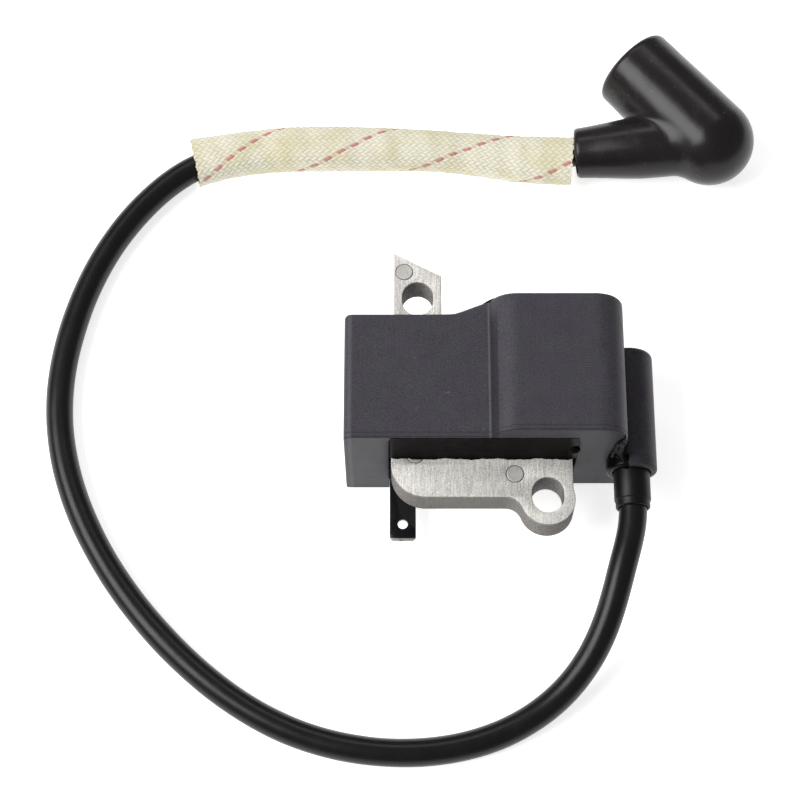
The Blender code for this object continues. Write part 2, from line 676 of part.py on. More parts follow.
def build_inner_wires(root):
    insulated = material("wire_insulation", (0.35, 0.04, 0.03), 0.5)
    green = material("ground_insulation", (0.05, 0.25, 0.08), 0.5)
    radius = INNER_WIRE_R
    side = BLADE_X + BLADE_WIDTH / 2 + FIT + radius
    board = BOARD_X[0] - FIT
    depth = COIL_FRONT_Y - FIT - radius
    level = BOARD_Z + BOARD_THICKNESS / 2
    wire("kill_lead", [
        (side, depth, BLADE_MIDDLE_Z), (side + KILL_LEAD_RAMP, depth, level),
        (board - KILL_LEAD_TURN, depth, level), (board, BOARD_Y[0] + KILL_LEAD_ON_BOARD, level)],
        radius, insulated, root)
    ground_x, ground_y = YOKE_RIGHT_X - GROUND_LEAD_INSET, BOARD_Y[0] - FIT - radius
    ground_z = core_low() + GROUND_LEAD_RISE
    wire("ground_lead", [
        (ground_x, YOKE_REAR_Y + FIT, ground_z), (ground_x, YOKE_REAR_Y + GROUND_LEAD_OUT, ground_z),
        (ground_x, ground_y, BOARD_Z + BOARD_THICKNESS + GROUND_LEAD_SAG), (ground_x, ground_y, level)],
        radius, green, root)
    outer = coil_sizes()["outer_coil"][0]
    high = CORE_MIDDLE_Z + LINK_RISE
    wire("high_tension_link_wire", [
        (outer + FIT + radius, link_y() + LINK_START_BACK, high),
        (outer + LINK_FIRST_RUN, link_y() + LINK_FIRST_BACK, high),
        (TOWER_X - TOWER_R - LINK_LAST_RUN, link_y(), TOWER_Z + LINK_LAST_RISE),
        (TOWER_X - TOWER_R - LINK_THROUGH, link_y(), TOWER_Z),
        (TOWER_X - LEAD_R + LINK_PAST_BORE, link_y(), TOWER_Z)], radius, copper(), root)
    brass = material("contact_brass", (0.75, 0.55, 0.22), 0.3, 0.9)
    base = TOWER_BACK_Y - TOWER_WALL_BACK - FIT
    length = base - lead_start_y() - FIT
    pin = [(0.0, PIN_R), (length - PIN_POINT, PIN_R), (length, PIN_TIP_R)]
    turned("high_tension_contact_pin", pin, (TOWER_X, base, TOWER_Z), (0, -1, 0), brass, root, 12)


# --- collar ---------------------------------------------------------------------------------------

def build_collar(root):
    length = COLLAR_OUT + COLLAR_IN
    start = (TOWER_X, collar_end_y(), TOWER_Z)
    profile = [(0.0, COLLAR_R - COLLAR_CHAMFER), (COLLAR_CHAMFER, COLLAR_R), (length, COLLAR_R)]
    collar = turned("strain_relief_collar", profile, start, (0, 1, 0), rubber(), root, 24)
    bore = [(-CUT, LEAD_R + FIT), (length + CUT, LEAD_R + FIT)]
    combine(collar, "DIFFERENCE", turned("collar_bore", bore, start, (0, 1, 0), None, root, 20))


# --- lead -----------------------------------------------------------------------------------------

def natural_spline(knots, values, at):
    """A natural cubic spline through values at the knots, read at the given places."""
    gaps = np.diff(knots)
    count = len(knots)
    system = np.eye(count)
    right = np.zeros((count, values.shape[1]))
    slopes = np.diff(values, axis=0) / gaps[:, None]
    for i in range(1, count - 1):
        system[i, i - 1:i + 2] = gaps[i - 1], 2 * (gaps[i - 1] + gaps[i]), gaps[i]
        right[i] = 6 * (slopes[i] - slopes[i - 1])
    bends = np.linalg.solve(system, right)
    k = np.clip(np.searchsorted(knots, at) - 1, 0, count - 2)
    a = ((knots[k + 1] - at) / gaps[k])[:, None]
    b = 1 - a
    square = (gaps[k] ** 2 / 6)[:, None]
    bent = (a ** 3 - a) * bends[k] + (b ** 3 - b) * bends[k + 1]
    return a * values[k] + b * values[k + 1] + bent * square


def even_curve(points, spacing):
    """A smooth curve through points, read at even steps of about the spacing."""
    points = np.array(points)
    knots = np.concatenate([[0.0], np.cumsum(np.linalg.norm(np.diff(points, axis=0), axis=1))])
    fine = natural_spline(knots, points, np.linspace(0, knots[-1], 2000))
    walked = np.concatenate([[0.0], np.cumsum(np.linalg.norm(np.diff(fine, axis=0), axis=1))])
    steps = max(2, round(walked[-1] / spacing))
    places = np.interp(np.linspace(0, walked[-1], steps + 1), walked, np.linspace(0, knots[-1], 2000))
    return natural_spline(knots, points, places)


def tube_direction():
    """Unit direction of the boot's tube, from its open end to the barrel."""
    return Vector((1.0, BOOT_TUBE_YAW, BOOT_TUBE_RISE)).normalized()


def boot_middle():
    """Where the axes of the boot's tube and barrel meet."""
    end = Vector((*BOOT_TUBE_END, 0.0))
    middle = end + tube_direction() * BOOT_TUBE_LENGTH
    return Vector((middle.x, middle.y, BOOT_BARREL_R + TABLE_GAP))


def lead_start_y():
    return TOWER_FRONT_Y + LEAD_INSIDE


def tube_end():
    return boot_middle() - tube_direction() * BOOT_TUBE_LENGTH


def lead_route():
    """The lead's own points: out of the tower, down to the table, through the sleeve, into the boot."""
    points = [(0.0, LEAD_INSIDE, TOWER_Z), (0.0, LEAD_INSIDE / 2, TOWER_Z), (0.0, 0.0, TOWER_Z)]
    points.append((0.0, -COLLAR_OUT, TOWER_Z))
    rest = LEAD_R + TABLE_GAP
    in_sleeve = SLEEVE_HALF_HEIGHT + TABLE_GAP
    end = tube_end()
    lift_length = 2 * (end.z - in_sleeve) / BOOT_TUBE_RISE
    walked = COLLAR_OUT
    for i, (x, y) in enumerate(LEAD_ROUTE):
        walked += math.dist(points[-1][:2], (x, y))
        height = TOWER_Z + (rest - TOWER_Z) * smooth_step((walked - FALL_START) / (FALL_END - FALL_START))
        if i > len(LEAD_ROUTE) / 2:
            height += (in_sleeve - rest) * smooth_step((x - SLEEVE_ROUTE[0][0]) / SLEEVE_LIFT_LENGTH + 1)
            height += (end.z - in_sleeve) * max(0.0, (x - end.x) / lift_length + 1) ** 2
        points.append((x, y, height))
    along = tube_direction()
    for distance in (-0.0030, 0.0, LEAD_IN_BOOT / 2, LEAD_IN_BOOT):
        points.append(tuple(end + along * distance))
    return points


def smooth_step(value):
    value = min(max(value, 0.0), 1.0)
    return value * value * (3 - 2 * value)


def build_lead(lead_root):
    points = even_curve(lead_route(), LEAD_SPACING)
    wire("hv_lead", points, LEAD_R, rubber(), lead_root, LEAD_ROUNDNESS)


def sleeve_section(half_width, half_height, sides=20):
    """A superellipse: a flattened tube's section."""
    turns = np.linspace(0, math.tau, sides, endpoint=False)
    power = 2 / SLEEVE_POWER
    across = half_width * np.sign(np.cos(turns)) * np.abs(np.cos(turns)) ** power
    up = half_height * np.sign(np.sin(turns)) * np.abs(np.sin(turns)) ** power
    return list(zip(across, up))


def build_sleeve(lead_root):
    """A flattened tube along its own middle line, at the height of the lead inside it."""
    lead = even_curve(lead_route(), 0.0010)
    inside = lead[lead[:, 1] > SLEEVE_ROUTE[0][1] - 0.02]
    line = even_curve(SLEEVE_ROUTE, 0.0045)
    heights = np.interp(line[:, 0], inside[:, 0], inside[:, 2])
    tangents = np.gradient(line[:, :2], axis=0)
    tangents /= np.linalg.norm(tangents, axis=1)[:, None]
    bm = bmesh.new()

    def ring(i, wall):
        x, y, half_width = line[i]
        section = sleeve_section(half_width - wall, SLEEVE_HALF_HEIGHT - wall)
        ahead_x, ahead_y = tangents[i]
        return [bm.verts.new((x + ahead_y * a, y - ahead_x * a, heights[i] + b)) for a, b in section]

    outer = [ring(i, 0.0) for i in range(len(line))]
    inner = [ring(i, SLEEVE_WALL) for i in reversed(range(len(line)))]
    skin(bm, outer + inner, True)
    put("fibreglass_sleeve", bm, fibreglass(), lead_root)


# --- boot -----------------------------------------------------------------------------------------

def barrel_direction():
    return Vector((math.cos(BOOT_BARREL_TURN), math.sin(BOOT_BARREL_TURN), 0.0))


def build_boot(boot_root):
    """The rubber elbow; its root empty stands at the meeting point of its two axes."""
    barrel = barrel_direction()
    tube = tube_direction()
    radius = BOOT_BARREL_R
    cap = [(-radius * math.cos(a), radius * math.sin(a)) for a in np.linspace(0, math.pi / 2, 8)[1:]]
    lip = 0.0007
    profile = [(-radius, 0.0)] + cap + [
        (BOOT_BARREL_LENGTH - lip, BOOT_MOUTH_R), (BOOT_BARREL_LENGTH, BOOT_MOUTH_R - lip)]
    boot = turned("plug_boot", profile, (0, 0, 0), barrel, rubber(), boot_root, 28)
    length = BOOT_TUBE_LENGTH
    tube_profile = [
        (0.0, BOOT_TUBE_R), (length * 0.38, BOOT_TUBE_R), (length * 0.62, BOOT_TUBE_R),
        (length - lip / 2, BOOT_TUBE_END_R), (length, BOOT_TUBE_END_R - lip / 2)]
    arm = turned("tube_form", tube_profile, (0, 0, 0), -tube, None, boot_root, 24)
    combine(boot, "UNION", arm)
    socket = [(0.0, BOOT_SOCKET_R), (BOOT_BARREL_LENGTH + CUT, BOOT_SOCKET_R)]
    combine(boot, "DIFFERENCE", turned("socket_cutter", socket, (0, 0, 0), barrel, None, boot_root, 20))
    bore = [(0.0, LEAD_R + FIT), (length + CUT, LEAD_R + FIT)]
    combine(boot, "DIFFERENCE", turned("tube_cutter", bore, (0, 0, 0), -tube, None, boot_root, 16))

    steel = material("spring_steel", (0.62, 0.60, 0.56), 0.3, 0.95)
    turn = Vector((0, 0, 1)).rotation_difference(barrel).to_matrix()
    steps = 12
    coil = []
    for k in range(SPRING_TURNS * steps + 1):
        angle = math.tau * k / steps
        height = SPRING_START + SPRING_PITCH * k / steps
        coil.append(turn @ Vector((SPRING_R * math.cos(angle), SPRING_R * math.sin(angle), height)))
    wire("plug_terminal_spring", coil, SPRING_WIRE_R, steel, boot_root, 1)


# --- assembly -------------------------------------------------------------------------------------

def empty(name, place, parent=None):
    made = bpy.data.objects.new(name, None)
    bpy.context.collection.objects.link(made)
    made.location = place
    made.parent = parent
    return made


def main():
    for old in list(bpy.data.objects):
        bpy.data.objects.remove(old)
    middle_x = (HOUSING_LEFT_X + TOWER_X + TOWER_R) / 2
    middle_y = (EAR_Y - EAR_R + LEG_TIP_LEFT_Y) / 2
    root = empty("module_root", (-middle_x, -middle_y, 0.0))
    lead_root = empty("lead_root", (TOWER_X, TOWER_FRONT_Y, 0.0), root)
    boot_root = empty("boot_root", boot_middle(), lead_root)
    build_housing(root)
    build_core(root)
    build_epoxy(root)
    build_blade(root)
    build_coils(root)
    build_electronics(root)
    build_inner_wires(root)
    build_collar(root)
    build_lead(lead_root)
    build_sleeve(lead_root)
    build_boot(boot_root)


main()
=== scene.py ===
"""Looks of a small engine's ignition coil with its high-tension lead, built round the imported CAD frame.

Shapes are worked out in the maker's coordinates, in metres: x = 0 at the middle of the core's leg, y = 0 at
the housing's front wall, z = 0 at the table. ORIGIN moves them into the frame.
"""

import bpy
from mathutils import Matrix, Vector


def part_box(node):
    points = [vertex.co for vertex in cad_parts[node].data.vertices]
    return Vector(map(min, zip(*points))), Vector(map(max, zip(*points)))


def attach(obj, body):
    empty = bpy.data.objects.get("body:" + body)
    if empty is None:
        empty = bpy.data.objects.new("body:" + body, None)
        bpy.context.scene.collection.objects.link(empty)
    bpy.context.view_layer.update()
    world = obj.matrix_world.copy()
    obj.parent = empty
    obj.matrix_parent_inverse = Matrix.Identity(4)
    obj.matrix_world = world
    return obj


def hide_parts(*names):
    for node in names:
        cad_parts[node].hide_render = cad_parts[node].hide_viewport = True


bl_info = {
    "name": "Ignition Coil",
    "version": (1, 0, 0),
    "blender": (4, 5, 0),
    "location": "View3D > Sidebar > Ignition Coil",
    "description": "Builds the visible pieces and finishes of an ignition coil with its lead and plug boot",
    "category": "Add Mesh",
}

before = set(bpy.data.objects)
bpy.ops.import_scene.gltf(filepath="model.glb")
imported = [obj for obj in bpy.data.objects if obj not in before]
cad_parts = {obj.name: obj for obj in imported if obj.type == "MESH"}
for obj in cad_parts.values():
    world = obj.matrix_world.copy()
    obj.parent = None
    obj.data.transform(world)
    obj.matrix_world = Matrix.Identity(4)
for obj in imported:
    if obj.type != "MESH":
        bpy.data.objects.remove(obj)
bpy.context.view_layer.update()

import math

import bmesh
import bpy
import numpy as np
from mathutils import Vector

MM = 0.001

# --- the frame's own sizes ------------------------------------------------------------------------
YOKE_LEFT = -4.8 * MM
LEG_TIP_LEFT = 39.9 * MM
LEG_TIP_RIGHT = 35.3 * MM
CORE_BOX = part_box("laminated_core")
ORIGIN = np.array([CORE_BOX[0].x - YOKE_LEFT, CORE_BOX[1].y - LEG_TIP_LEFT, 0.0])
CORE_LOW = CORE_BOX[0].z
CORE_HIGH = CORE_BOX[1].z
LEG_HALF = 4.3 * MM
YOKE_RIGHT = 27.2 * MM
YOKE_REAR = 1.1 * MM
YOKE_FRONT = -7.5 * MM
YOKE_CORNER = 6.2 * MM
EAR = (22.7 * MM, -7.8 * MM, 4.8 * MM)      # x, y and radius
EAR_NECK = 3.0 * MM
SLOTS = ((22.7 * MM, -7.1 * MM), (0.0, 30.75 * MM))
SLOT_WIDTH = 5.6 * MM
SLOT_LENGTH = 6.5 * MM
RIVETS = ((-2.4 * MM, 36.1 * MM), (17.0 * MM, -3.2 * MM), (-0.5 * MM, 0.4 * MM))
RIVET_RADIUS = 1.5 * MM

CASE_LEFT = -13.0 * MM
CASE_RIGHT = 36.2 * MM
LOW_TOP = 25.0 * MM
HIGH_TOP = 28.6 * MM
STEP_FOOT = 12.5 * MM
STEP_HEAD = 14.1 * MM
RIGHT_BOTTOM = 2.2 * MM
LEFT_BACK = 23.6 * MM
RIGHT_BACK = 26.1 * MM
SLANT_START = 6.5 * MM
CASE_WALL = 1.6 * MM
LOW_CORNER = 1.3 * MM
STEP_CURVE = 5.1 * MM
HIGH_CORNER = 5.2 * MM
FRONT_SLOT = (-5.1 * MM, 27.8 * MM, 23.6 * MM)   # left, right and top
REAR_SLOT = (-4.6 * MM, 4.6 * MM, 15.9 * MM)
SLOT_LIP = 0.25 * MM
OUTLET_BEAD = (6.9 * MM, 25.6 * MM)              # lowest and highest
DROP = (27.3 * MM, -0.10 * MM, 19.6 * MM)        # x, y and z of the drop at the front bead's right end
DROP_RADIUS = 0.95 * MM
DROP_HEIGHT = 0.8 * MM

TOWER_X = 37.8 * MM
TOWER_Z = 12.5 * MM
TOWER_RADIUS = 4.55 * MM
TOWER_FRONT = -2.0 * MM
TOWER_BACK = 20.8 * MM
COLLAR_RADIUS = 3.23 * MM
COLLAR_OUT = 6.6 * MM
COLLAR_IN = 3.4 * MM

BLADE_X = -2.7 * MM
BLADE_HALF = 2.35 * MM
BLADE_TIP = -11.8 * MM
BLADE_BACK = 4.0 * MM
BLADE_Z = 4.3 * MM
BLADE_THICKNESS = 0.8 * MM
BLADE_HOLE = (-8.7 * MM, 0.9 * MM)          # y and radius

# --- the lead, its sleeve and the boot ------------------------------------------------------------
LEAD_RADIUS = 2.5 * MM
LEAD_INSIDE = 9.4 * MM
TABLE_GAP = 0.1 * MM
FALL = (11.6 * MM, 51.6 * MM)
SLEEVE_HALF_HEIGHT = 3.3 * MM
SLEEVE_LIFT = 16.0 * MM
SLEEVE_POWER = 2.4
BOOT_RADIUS = 8.38 * MM
BOOT_MOUTH_RADIUS = 8.15 * MM
BOOT_LENGTH = 22.2 * MM
BOOT_SOCKET = 5.2 * MM
TUBE_END_RADIUS = 4.75 * MM
TUBE_RADIUS = 6.0 * MM
TUBE_LENGTH = 25.7 * MM
TUBE_RISE = 0.138
TUBE_YAW = 0.027
BARREL_TURN = math.radians(130.6)
LEAD_IN_BOOT = 15.0 * MM
TUBE_END = (-7.3 * MM, 68.6 * MM)
SPRING_START = 1.5 * MM
SPRING_RADIUS = 3.6 * MM
SPRING_PITCH = 1.6 * MM
SPRING_TURNS = 5
SPRING_WIRE = 0.5 * MM

# --- the stage ------------------------------------------------------------------------------------
FLOOR_HALF = 2.5
CAMERA_TARGET = (-17.875 * MM, 3.65 * MM, 0.0)
LEFT_BOX = ((-0.70, -0.08, 0.78), (0.75, 0.62))     # place, width and height
BACK_BOX = ((-0.05, 0.62, 0.76), (0.70, 0.20))

# The lead's route seen from above, as x and y in metres from the tower's mouth.
LEAD_ROUTE = (
    (-0.0003, -0.0096), (-0.0019, -0.0160), (-0.0057, -0.0278), (-0.0124, -0.0374),
    (-0.0229, -0.0443), (-0.0350, -0.0475), (-0.0476, -0.0473), (-0.0597, -0.0441),
    (-0.0709, -0.0379), (-0.0808, -0.0295), (-0.0895, -0.0195), (-0.0968, -0.0079),
    (-0.1019, 0.0051), (-0.1038, 0.0192), (-0.1020, 0.0335), (-0.0972, 0.0472),
    (-0.0892, 0.0591), (-0.0805, 0.0662), (-0.0700, 0.0697), (-0.0590, 0.0706),
    (-0.0470, 0.0706), (-0.0350, 0.0702), (-0.0230, 0.0694),
)

# The loose sleeve's middle line seen from above, with its half width.
SLEEVE_ROUTE = (
    (-0.0805, 0.0674, 0.0049), (-0.0732, 0.0690, 0.0045), (-0.0644, 0.0702, 0.0045),
    (-0.0576, 0.0704, 0.0046), (-0.0474, 0.0704, 0.0045), (-0.0369, 0.0701, 0.0042),
    (-0.0267, 0.0692, 0.0043), (-0.0188, 0.0681, 0.0047), (-0.0080, 0.0670, 0.0049),
)


# --- shapes ---------------------------------------------------------------------------------------

def unit(vectors):
    """Vectors divided by their length, along the last axis."""
    vectors = np.asarray(vectors, float)
    return vectors / np.linalg.norm(vectors, axis=-1, keepdims=True)


def ripple(values, *waves):
    """A sum of sines over values in metres: each wave is (height, wavelength, phase), in millimetres."""
    return sum(height * MM * np.sin(math.tau * values / (length * MM) + phase)
               for height, length, phase in waves)


def smooth_step(values):
    """0 below 0, 1 above 1, and three squares less two cubes between."""
    values = np.clip(values, 0.0, 1.0)
    return values * values * (3 - 2 * values)


def arc(centre, radius, start, end, count):
    """Points on a circle at even angles, in degrees, both ends included."""
    angles = np.radians(np.linspace(start, end, count))
    return np.stack([centre[0] + radius * np.cos(angles), centre[1] + radius * np.sin(angles)], 1)


def rounded_path(corners, runs, steps=12):
    """An open path through corners (a, b, radius). Each straight run has its number of points, and each
    corner is the arc that touches both its sides, turned evenly from one to the other."""
    corners = np.array(corners, float)
    previous, parts = corners[0, :2], []
    for before, here, after, count in zip(corners, corners[1:], corners[2:], runs):
        back, on = unit(before[:2] - here[:2]), unit(after[:2] - here[:2])
        half = math.acos(float(back @ on)) / 2
        start, end = here[:2] + back * here[2] / math.tan(half), here[:2] + on * here[2] / math.tan(half)
        centre = here[:2] + unit(back + on) * here[2] / math.sin(half)
        sweep = math.pi - 2 * half
        share = np.linspace(0, 1, steps + 1)[:, None]
        turned = (np.sin((1 - share) * sweep) * (start - centre) + np.sin(share * sweep) * (end - centre))
        parts += [np.linspace(previous, start, count, endpoint=False), centre + turned / math.sin(sweep)]
        previous = end
    tail = np.linspace(previous, corners[-1, :2], runs[-1] + 1)[1:]
    return np.concatenate([*parts, tail])


def walked(points):
    """The distance walked along points, from 0."""
    return np.concatenate([[0.0], np.cumsum(np.linalg.norm(np.diff(points, axis=0), axis=1))])


def natural_spline(knots, values, at):
    """The cubic spline through values at the knots whose bend is 0 at both ends."""
    gaps, count = np.diff(knots), len(knots)
    slopes = np.diff(values, axis=0) / gaps[:, None]
    inner = np.arange(1, count - 1)
    system = np.eye(count)
    system[inner, inner - 1], system[inner, inner + 1] = gaps[:-1], gaps[1:]
    system[inner, inner] = 2 * (gaps[:-1] + gaps[1:])
    right = np.zeros_like(values)
    right[1:-1] = 6 * np.diff(slopes, axis=0)
    bends = np.linalg.solve(system, right)
    k = np.clip(np.searchsorted(knots, at) - 1, 0, count - 2)
    a = ((knots[k + 1] - at) / gaps[k])[:, None]
    b, square = 1 - a, (gaps[k] ** 2 / 6)[:, None]
    bent = ((a ** 3 - a) * bends[k] + (b ** 3 - b) * bends[k + 1]) * square
    return a * values[k] + b * values[k + 1] + bent


def even_curve(points, spacing):
    """A smooth curve through points, read at even steps of about the spacing."""
    points = np.array(points, float)
    knots = walked(points)
    fine_knots = np.linspace(0, knots[-1], 4000)
    lengths = walked(natural_spline(knots, points, fine_knots))
    steps = max(2, round(lengths[-1] / spacing))
    at = np.interp(np.linspace(0, lengths[-1], steps + 1), lengths, fine_knots)
    return natural_spline(knots, points, at)


def sweep_rings(centres, radii, sides, reference):
    """Rings round a path: each point is its centre plus its radius times the cosine of the turn along the
    side direction and the sine along the upper one. radii may be one number, a row each or a full grid."""
    tangents = unit(np.gradient(centres, axis=0))
    across = unit(np.cross(tangents, np.asarray(reference, float)))
    up = np.cross(across, tangents)
    turns = np.linspace(0, math.tau, sides, endpoint=False)
    radii = np.reshape(radii, (-1, 1)) if np.ndim(radii) == 1 else radii
    radii = np.broadcast_to(radii, (len(centres), sides))
    ring = across[:, None] * np.cos(turns)[:, None] + up[:, None] * np.sin(turns)[:, None]
    return centres[:, None] + radii[..., None] * ring


def revolved(profile, start, direction, sides):
    """A profile of (distance along, radius) turned round an axis."""
    profile = np.array(profile, float)
    axis = unit(direction)
    side = unit(np.cross(axis, [0.0, 0.0, 1.0] if abs(axis[2]) < 0.9 else [0.0, 1.0, 0.0]))
    other = np.cross(axis, side)
    turns = np.linspace(0, math.tau, sides, endpoint=False)
    ring = np.outer(np.cos(turns), side) + np.outer(np.sin(turns), other)
    return np.asarray(start) + profile[:, 0, None, None] * axis + profile[:, 1, None, None] * ring


class Form:
    """One piece's surface, gathered from grids of points and closed where it is asked."""

    def __init__(self):
        self.points, self.faces, self.count = [], [], 0

    def grid(self, points, around=False, caps=False, loop=False):
        """Adds faces between rows of points. around joins the last column to the first, caps closes the
        first and the last row with a face each, and loop joins the last row to the first."""
        rows, columns = points.shape[:2]
        high, wide = rows if loop else rows - 1, columns if around else columns - 1
        i, j = np.meshgrid(np.arange(high), np.arange(wide), indexing="ij")
        down, on = (i + 1) % rows, (j + 1) % columns
        quads = np.stack([i * columns + j, i * columns + on, down * columns + on, down * columns + j], -1)
        self.faces += (quads.reshape(-1, 4) + self.count).tolist()
        if caps:
            first = self.count + np.arange(columns)
            self.faces += [first[::-1].tolist(), (first + (rows - 1) * columns).tolist()]
        self.points.append(points.reshape(-1, 3))
        self.count += rows * columns
        return self

    def add(self, points, faces):
        """Adds points with faces that number them from 0."""
        self.faces += [[corner + self.count for corner in face] for face in faces]
        self.points.append(points)
        self.count += len(points)

    def shell(self, outer, inner):
        """Adds two skins of the same rows and columns, joined by a rim all round."""
        rows, columns = outer.shape[:2]
        base, half = self.count, rows * columns
        self.grid(outer).grid(inner)
        edge = np.concatenate([
            np.arange(columns), np.arange(1, rows) * columns + columns - 1,
            (rows - 1) * columns + np.arange(columns - 2, -1, -1),
            np.arange(rows - 2, 0, -1) * columns]) + base
        on = np.roll(edge, -1)
        self.faces += np.stack([edge, on, on + half, edge + half], 1).tolist()
        return self

    def build(self, name, finish, sharp=40, attributes=None, body="module", slot=None, stands_for=()):
        """The piece as a mesh object with its faces pointing out, riding on its body."""
        mesh = bpy.data.meshes.new(name)
        mesh.from_pydata(np.concatenate(self.points) + ORIGIN, [], self.faces)
        return finished(mesh, name, finish, sharp, attributes, body, stands_for)


def finished(mesh, name, finish, sharp=40, attributes=None, body="module", stands_for=()):
    """An object for a mesh: outward faces, its finish, its values on points, and the body it rides on."""
    bm = bmesh.new()
    bm.from_mesh(mesh)
    if not attributes:
        bmesh.ops.remove_doubles(bm, verts=bm.verts, dist=1e-7)
    bmesh.ops.recalc_face_normals(bm, faces=bm.faces)
    bm.to_mesh(mesh)
    bm.free()
    mesh.shade_smooth()
    mesh.set_sharp_from_angle(angle=math.radians(sharp))
    for key, values in (attributes or {}).items():
        stored = mesh.attributes.new(key, "FLOAT", "POINT")
        stored.data.foreach_set("value", values.astype(np.float32).ravel())
    made = bpy.data.objects.new(name, mesh)
    bpy.context.scene.collection.objects.link(made)
    mesh.materials.clear()
    mesh.materials.append(finish)
    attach(made, body)
    if stands_for:
        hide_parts(*stands_for)
    return made


def evaluated(made):
    """A mesh of what an object's modifiers or curve give; the object itself is removed."""
    graph = bpy.context.evaluated_depsgraph_get()
    graph.update()
    mesh = bpy.data.meshes.new_from_object(made.evaluated_get(graph))
    bpy.data.objects.remove(made)
    return mesh


def mesh_points(mesh):
    """A mesh's points as rows of x, y and z."""
    points = np.zeros(len(mesh.vertices) * 3)
    mesh.vertices.foreach_get("co", points)
    return points.reshape(-1, 3)


def plate(outlines, low, high, bevel):
    """Points and faces of a plate cut to outlines, the first round the others, with its edges rounded."""
    curve = bpy.data.curves.new("plate", "CURVE")
    curve.dimensions, curve.fill_mode = "2D", "BOTH"
    curve.extrude, curve.bevel_depth, curve.offset = (high - low) / 2 - bevel, bevel, -bevel
    curve.bevel_resolution = 1
    for outline in outlines:
        spline, count = curve.splines.new("POLY"), len(outline)
        spline.points.add(count - 1)
        spline.points.foreach_set("co", np.column_stack([outline, np.zeros(count), np.ones(count)]).ravel())
        spline.use_cyclic_u = True
    made = bpy.data.objects.new("plate", curve)
    bpy.context.scene.collection.objects.link(made)
    mesh = evaluated(made)
    return mesh_points(mesh) + [0, 0, (low + high) / 2], [list(face.vertices) for face in mesh.polygons]


# --- shader maths ---------------------------------------------------------------------------------

class Value:
    """An output socket. Arithmetic on it adds Math nodes."""

    def __init__(self, finish, socket):
        self.finish, self.socket = finish, socket

    def math(self, operation, *values):
        return self.finish.node("ShaderNodeMath", {"operation": operation}, dict(enumerate(values)))

    def __add__(self, other):
        return self.math("ADD", self, other)

    def __sub__(self, other):
        return self.math("SUBTRACT", self, other)

    def __rsub__(self, other):
        return self.math("SUBTRACT", other, self)

    def __mul__(self, other):
        return self.math("MULTIPLY", self, other)

    def __pow__(self, other):
        return self.math("POWER", self, other)

    __radd__, __rmul__ = __add__, __mul__

    def size(self):
        return self.math("ABSOLUTE", self)

    def sine(self):
        return self.math("SINE", self)

    def between(self, low, high):
        """0 at low and below, 1 at high and above, smooth between; turned round where high is below low."""
        if high < low:
            return 1 - self.between(high, low)
        return self.finish.node("ShaderNodeMapRange", {"interpolation_type": "SMOOTHSTEP"},
                                {"Value": self, "From Min": low, "From Max": high})


class Finish:
    """A material in the making: fixed values go on the shader's own sockets, varying ones through set."""

    def __init__(self, name, **fixed):
        self.material = bpy.data.materials.new(name)
        self.material.use_nodes = True
        self.tree = self.material.node_tree
        self.shader = self.tree.nodes["Principled BSDF"]
        for key, value in fixed.items():
            self.shader.inputs[key.replace("_", " ")].default_value = value

    def node(self, kind, settings=(), sockets=(), output=0):
        """Adds a node: its settings first, then the values or links of its sockets."""
        made = self.tree.nodes.new(kind)
        for key, value in dict(settings).items():
            setattr(made, key, value)
        for key, value in dict(sockets).items():
            if isinstance(value, Value):
                self.tree.links.new(value.socket, made.inputs[key])
            else:
                made.inputs[key].default_value = value
        return Value(self, made.outputs[output])

    def set(self, **varying):
        for key, value in varying.items():
            self.tree.links.new(value.socket, self.shader.inputs[key.replace("_", " ")])
        return self

    def place(self, scale=(1, 1, 1), turn=(0, 0, 0)):
        """Object coordinates, scaled and turned."""
        own = self.node("ShaderNodeTexCoord", output="Object")
        return self.node("ShaderNodeMapping", {}, {
            "Vector": own, "Scale": scale, "Rotation": [math.radians(t) for t in turn]})

    def own(self, name):
        """A value stored on the piece's points."""
        return self.node("ShaderNodeAttribute", {"attribute_name": name}, output="Fac")

    def axis(self, name):
        """One of X, Y, Z of the object coordinates, in millimetres."""
        own = self.node("ShaderNodeTexCoord", output="Object")
        return self.node("ShaderNodeSeparateXYZ", {}, {0: own}, output=name) * 1000

    def noise(self, size, detail=3.0, roughness=0.55, stretch=(1, 1, 1), turn=(0, 0, 0), distortion=0.0):
        """Soft noise from 0 to 1 whose lumps are about size metres."""
        scale = tuple(1 / (size * s) for s in stretch)
        return self.node("ShaderNodeTexNoise", {}, {
            "Vector": self.place(scale, turn), "Scale": 1.0, "Detail": detail, "Roughness": roughness,
            "Distortion": distortion})

    def cells(self, size, feature="F1"):
        """Distance to the nearest scattered point, in cells of size metres."""
        return self.node("ShaderNodeTexVoronoi", {"feature": feature}, {
            "Vector": self.place((1 / size,) * 3), "Scale": 1.0}, "Distance")

    def mix(self, share, first, second, way="MIX"):
        """One colour turning into another, or mixed in another way."""
        first, second = ((*end, 1.0) if isinstance(end, tuple) else end for end in (first, second))
        return self.node("ShaderNodeMix", {"data_type": "RGBA", "blend_type": way}, {
            0: share, 6: first, 7: second}, 2)

    def shade(self, colour, factor):
        """A colour times a grey value."""
        grey = self.node("ShaderNodeCombineColor", {}, {0: factor, 1: factor, 2: factor})
        return self.mix(1.0, colour, grey, "MULTIPLY")

    def bump(self, height, depth, after=None):
        """A bumped normal; height 1 stands depth metres proud."""
        sockets = {"Height": height, "Distance": depth, "Strength": 1.0}
        if after:
            sockets["Normal"] = after
        return self.node("ShaderNodeBump", {}, sockets)

    def ring(self, x, y, radius, width):
        """1 on a thin circle about a point seen from above, in millimetres."""
        away_x, away_y = self.axis("X") - x, self.axis("Y") - y
        reach = (away_x * away_x + away_y * away_y) ** 0.5
        return (reach - radius).size().between(width, 0.0)


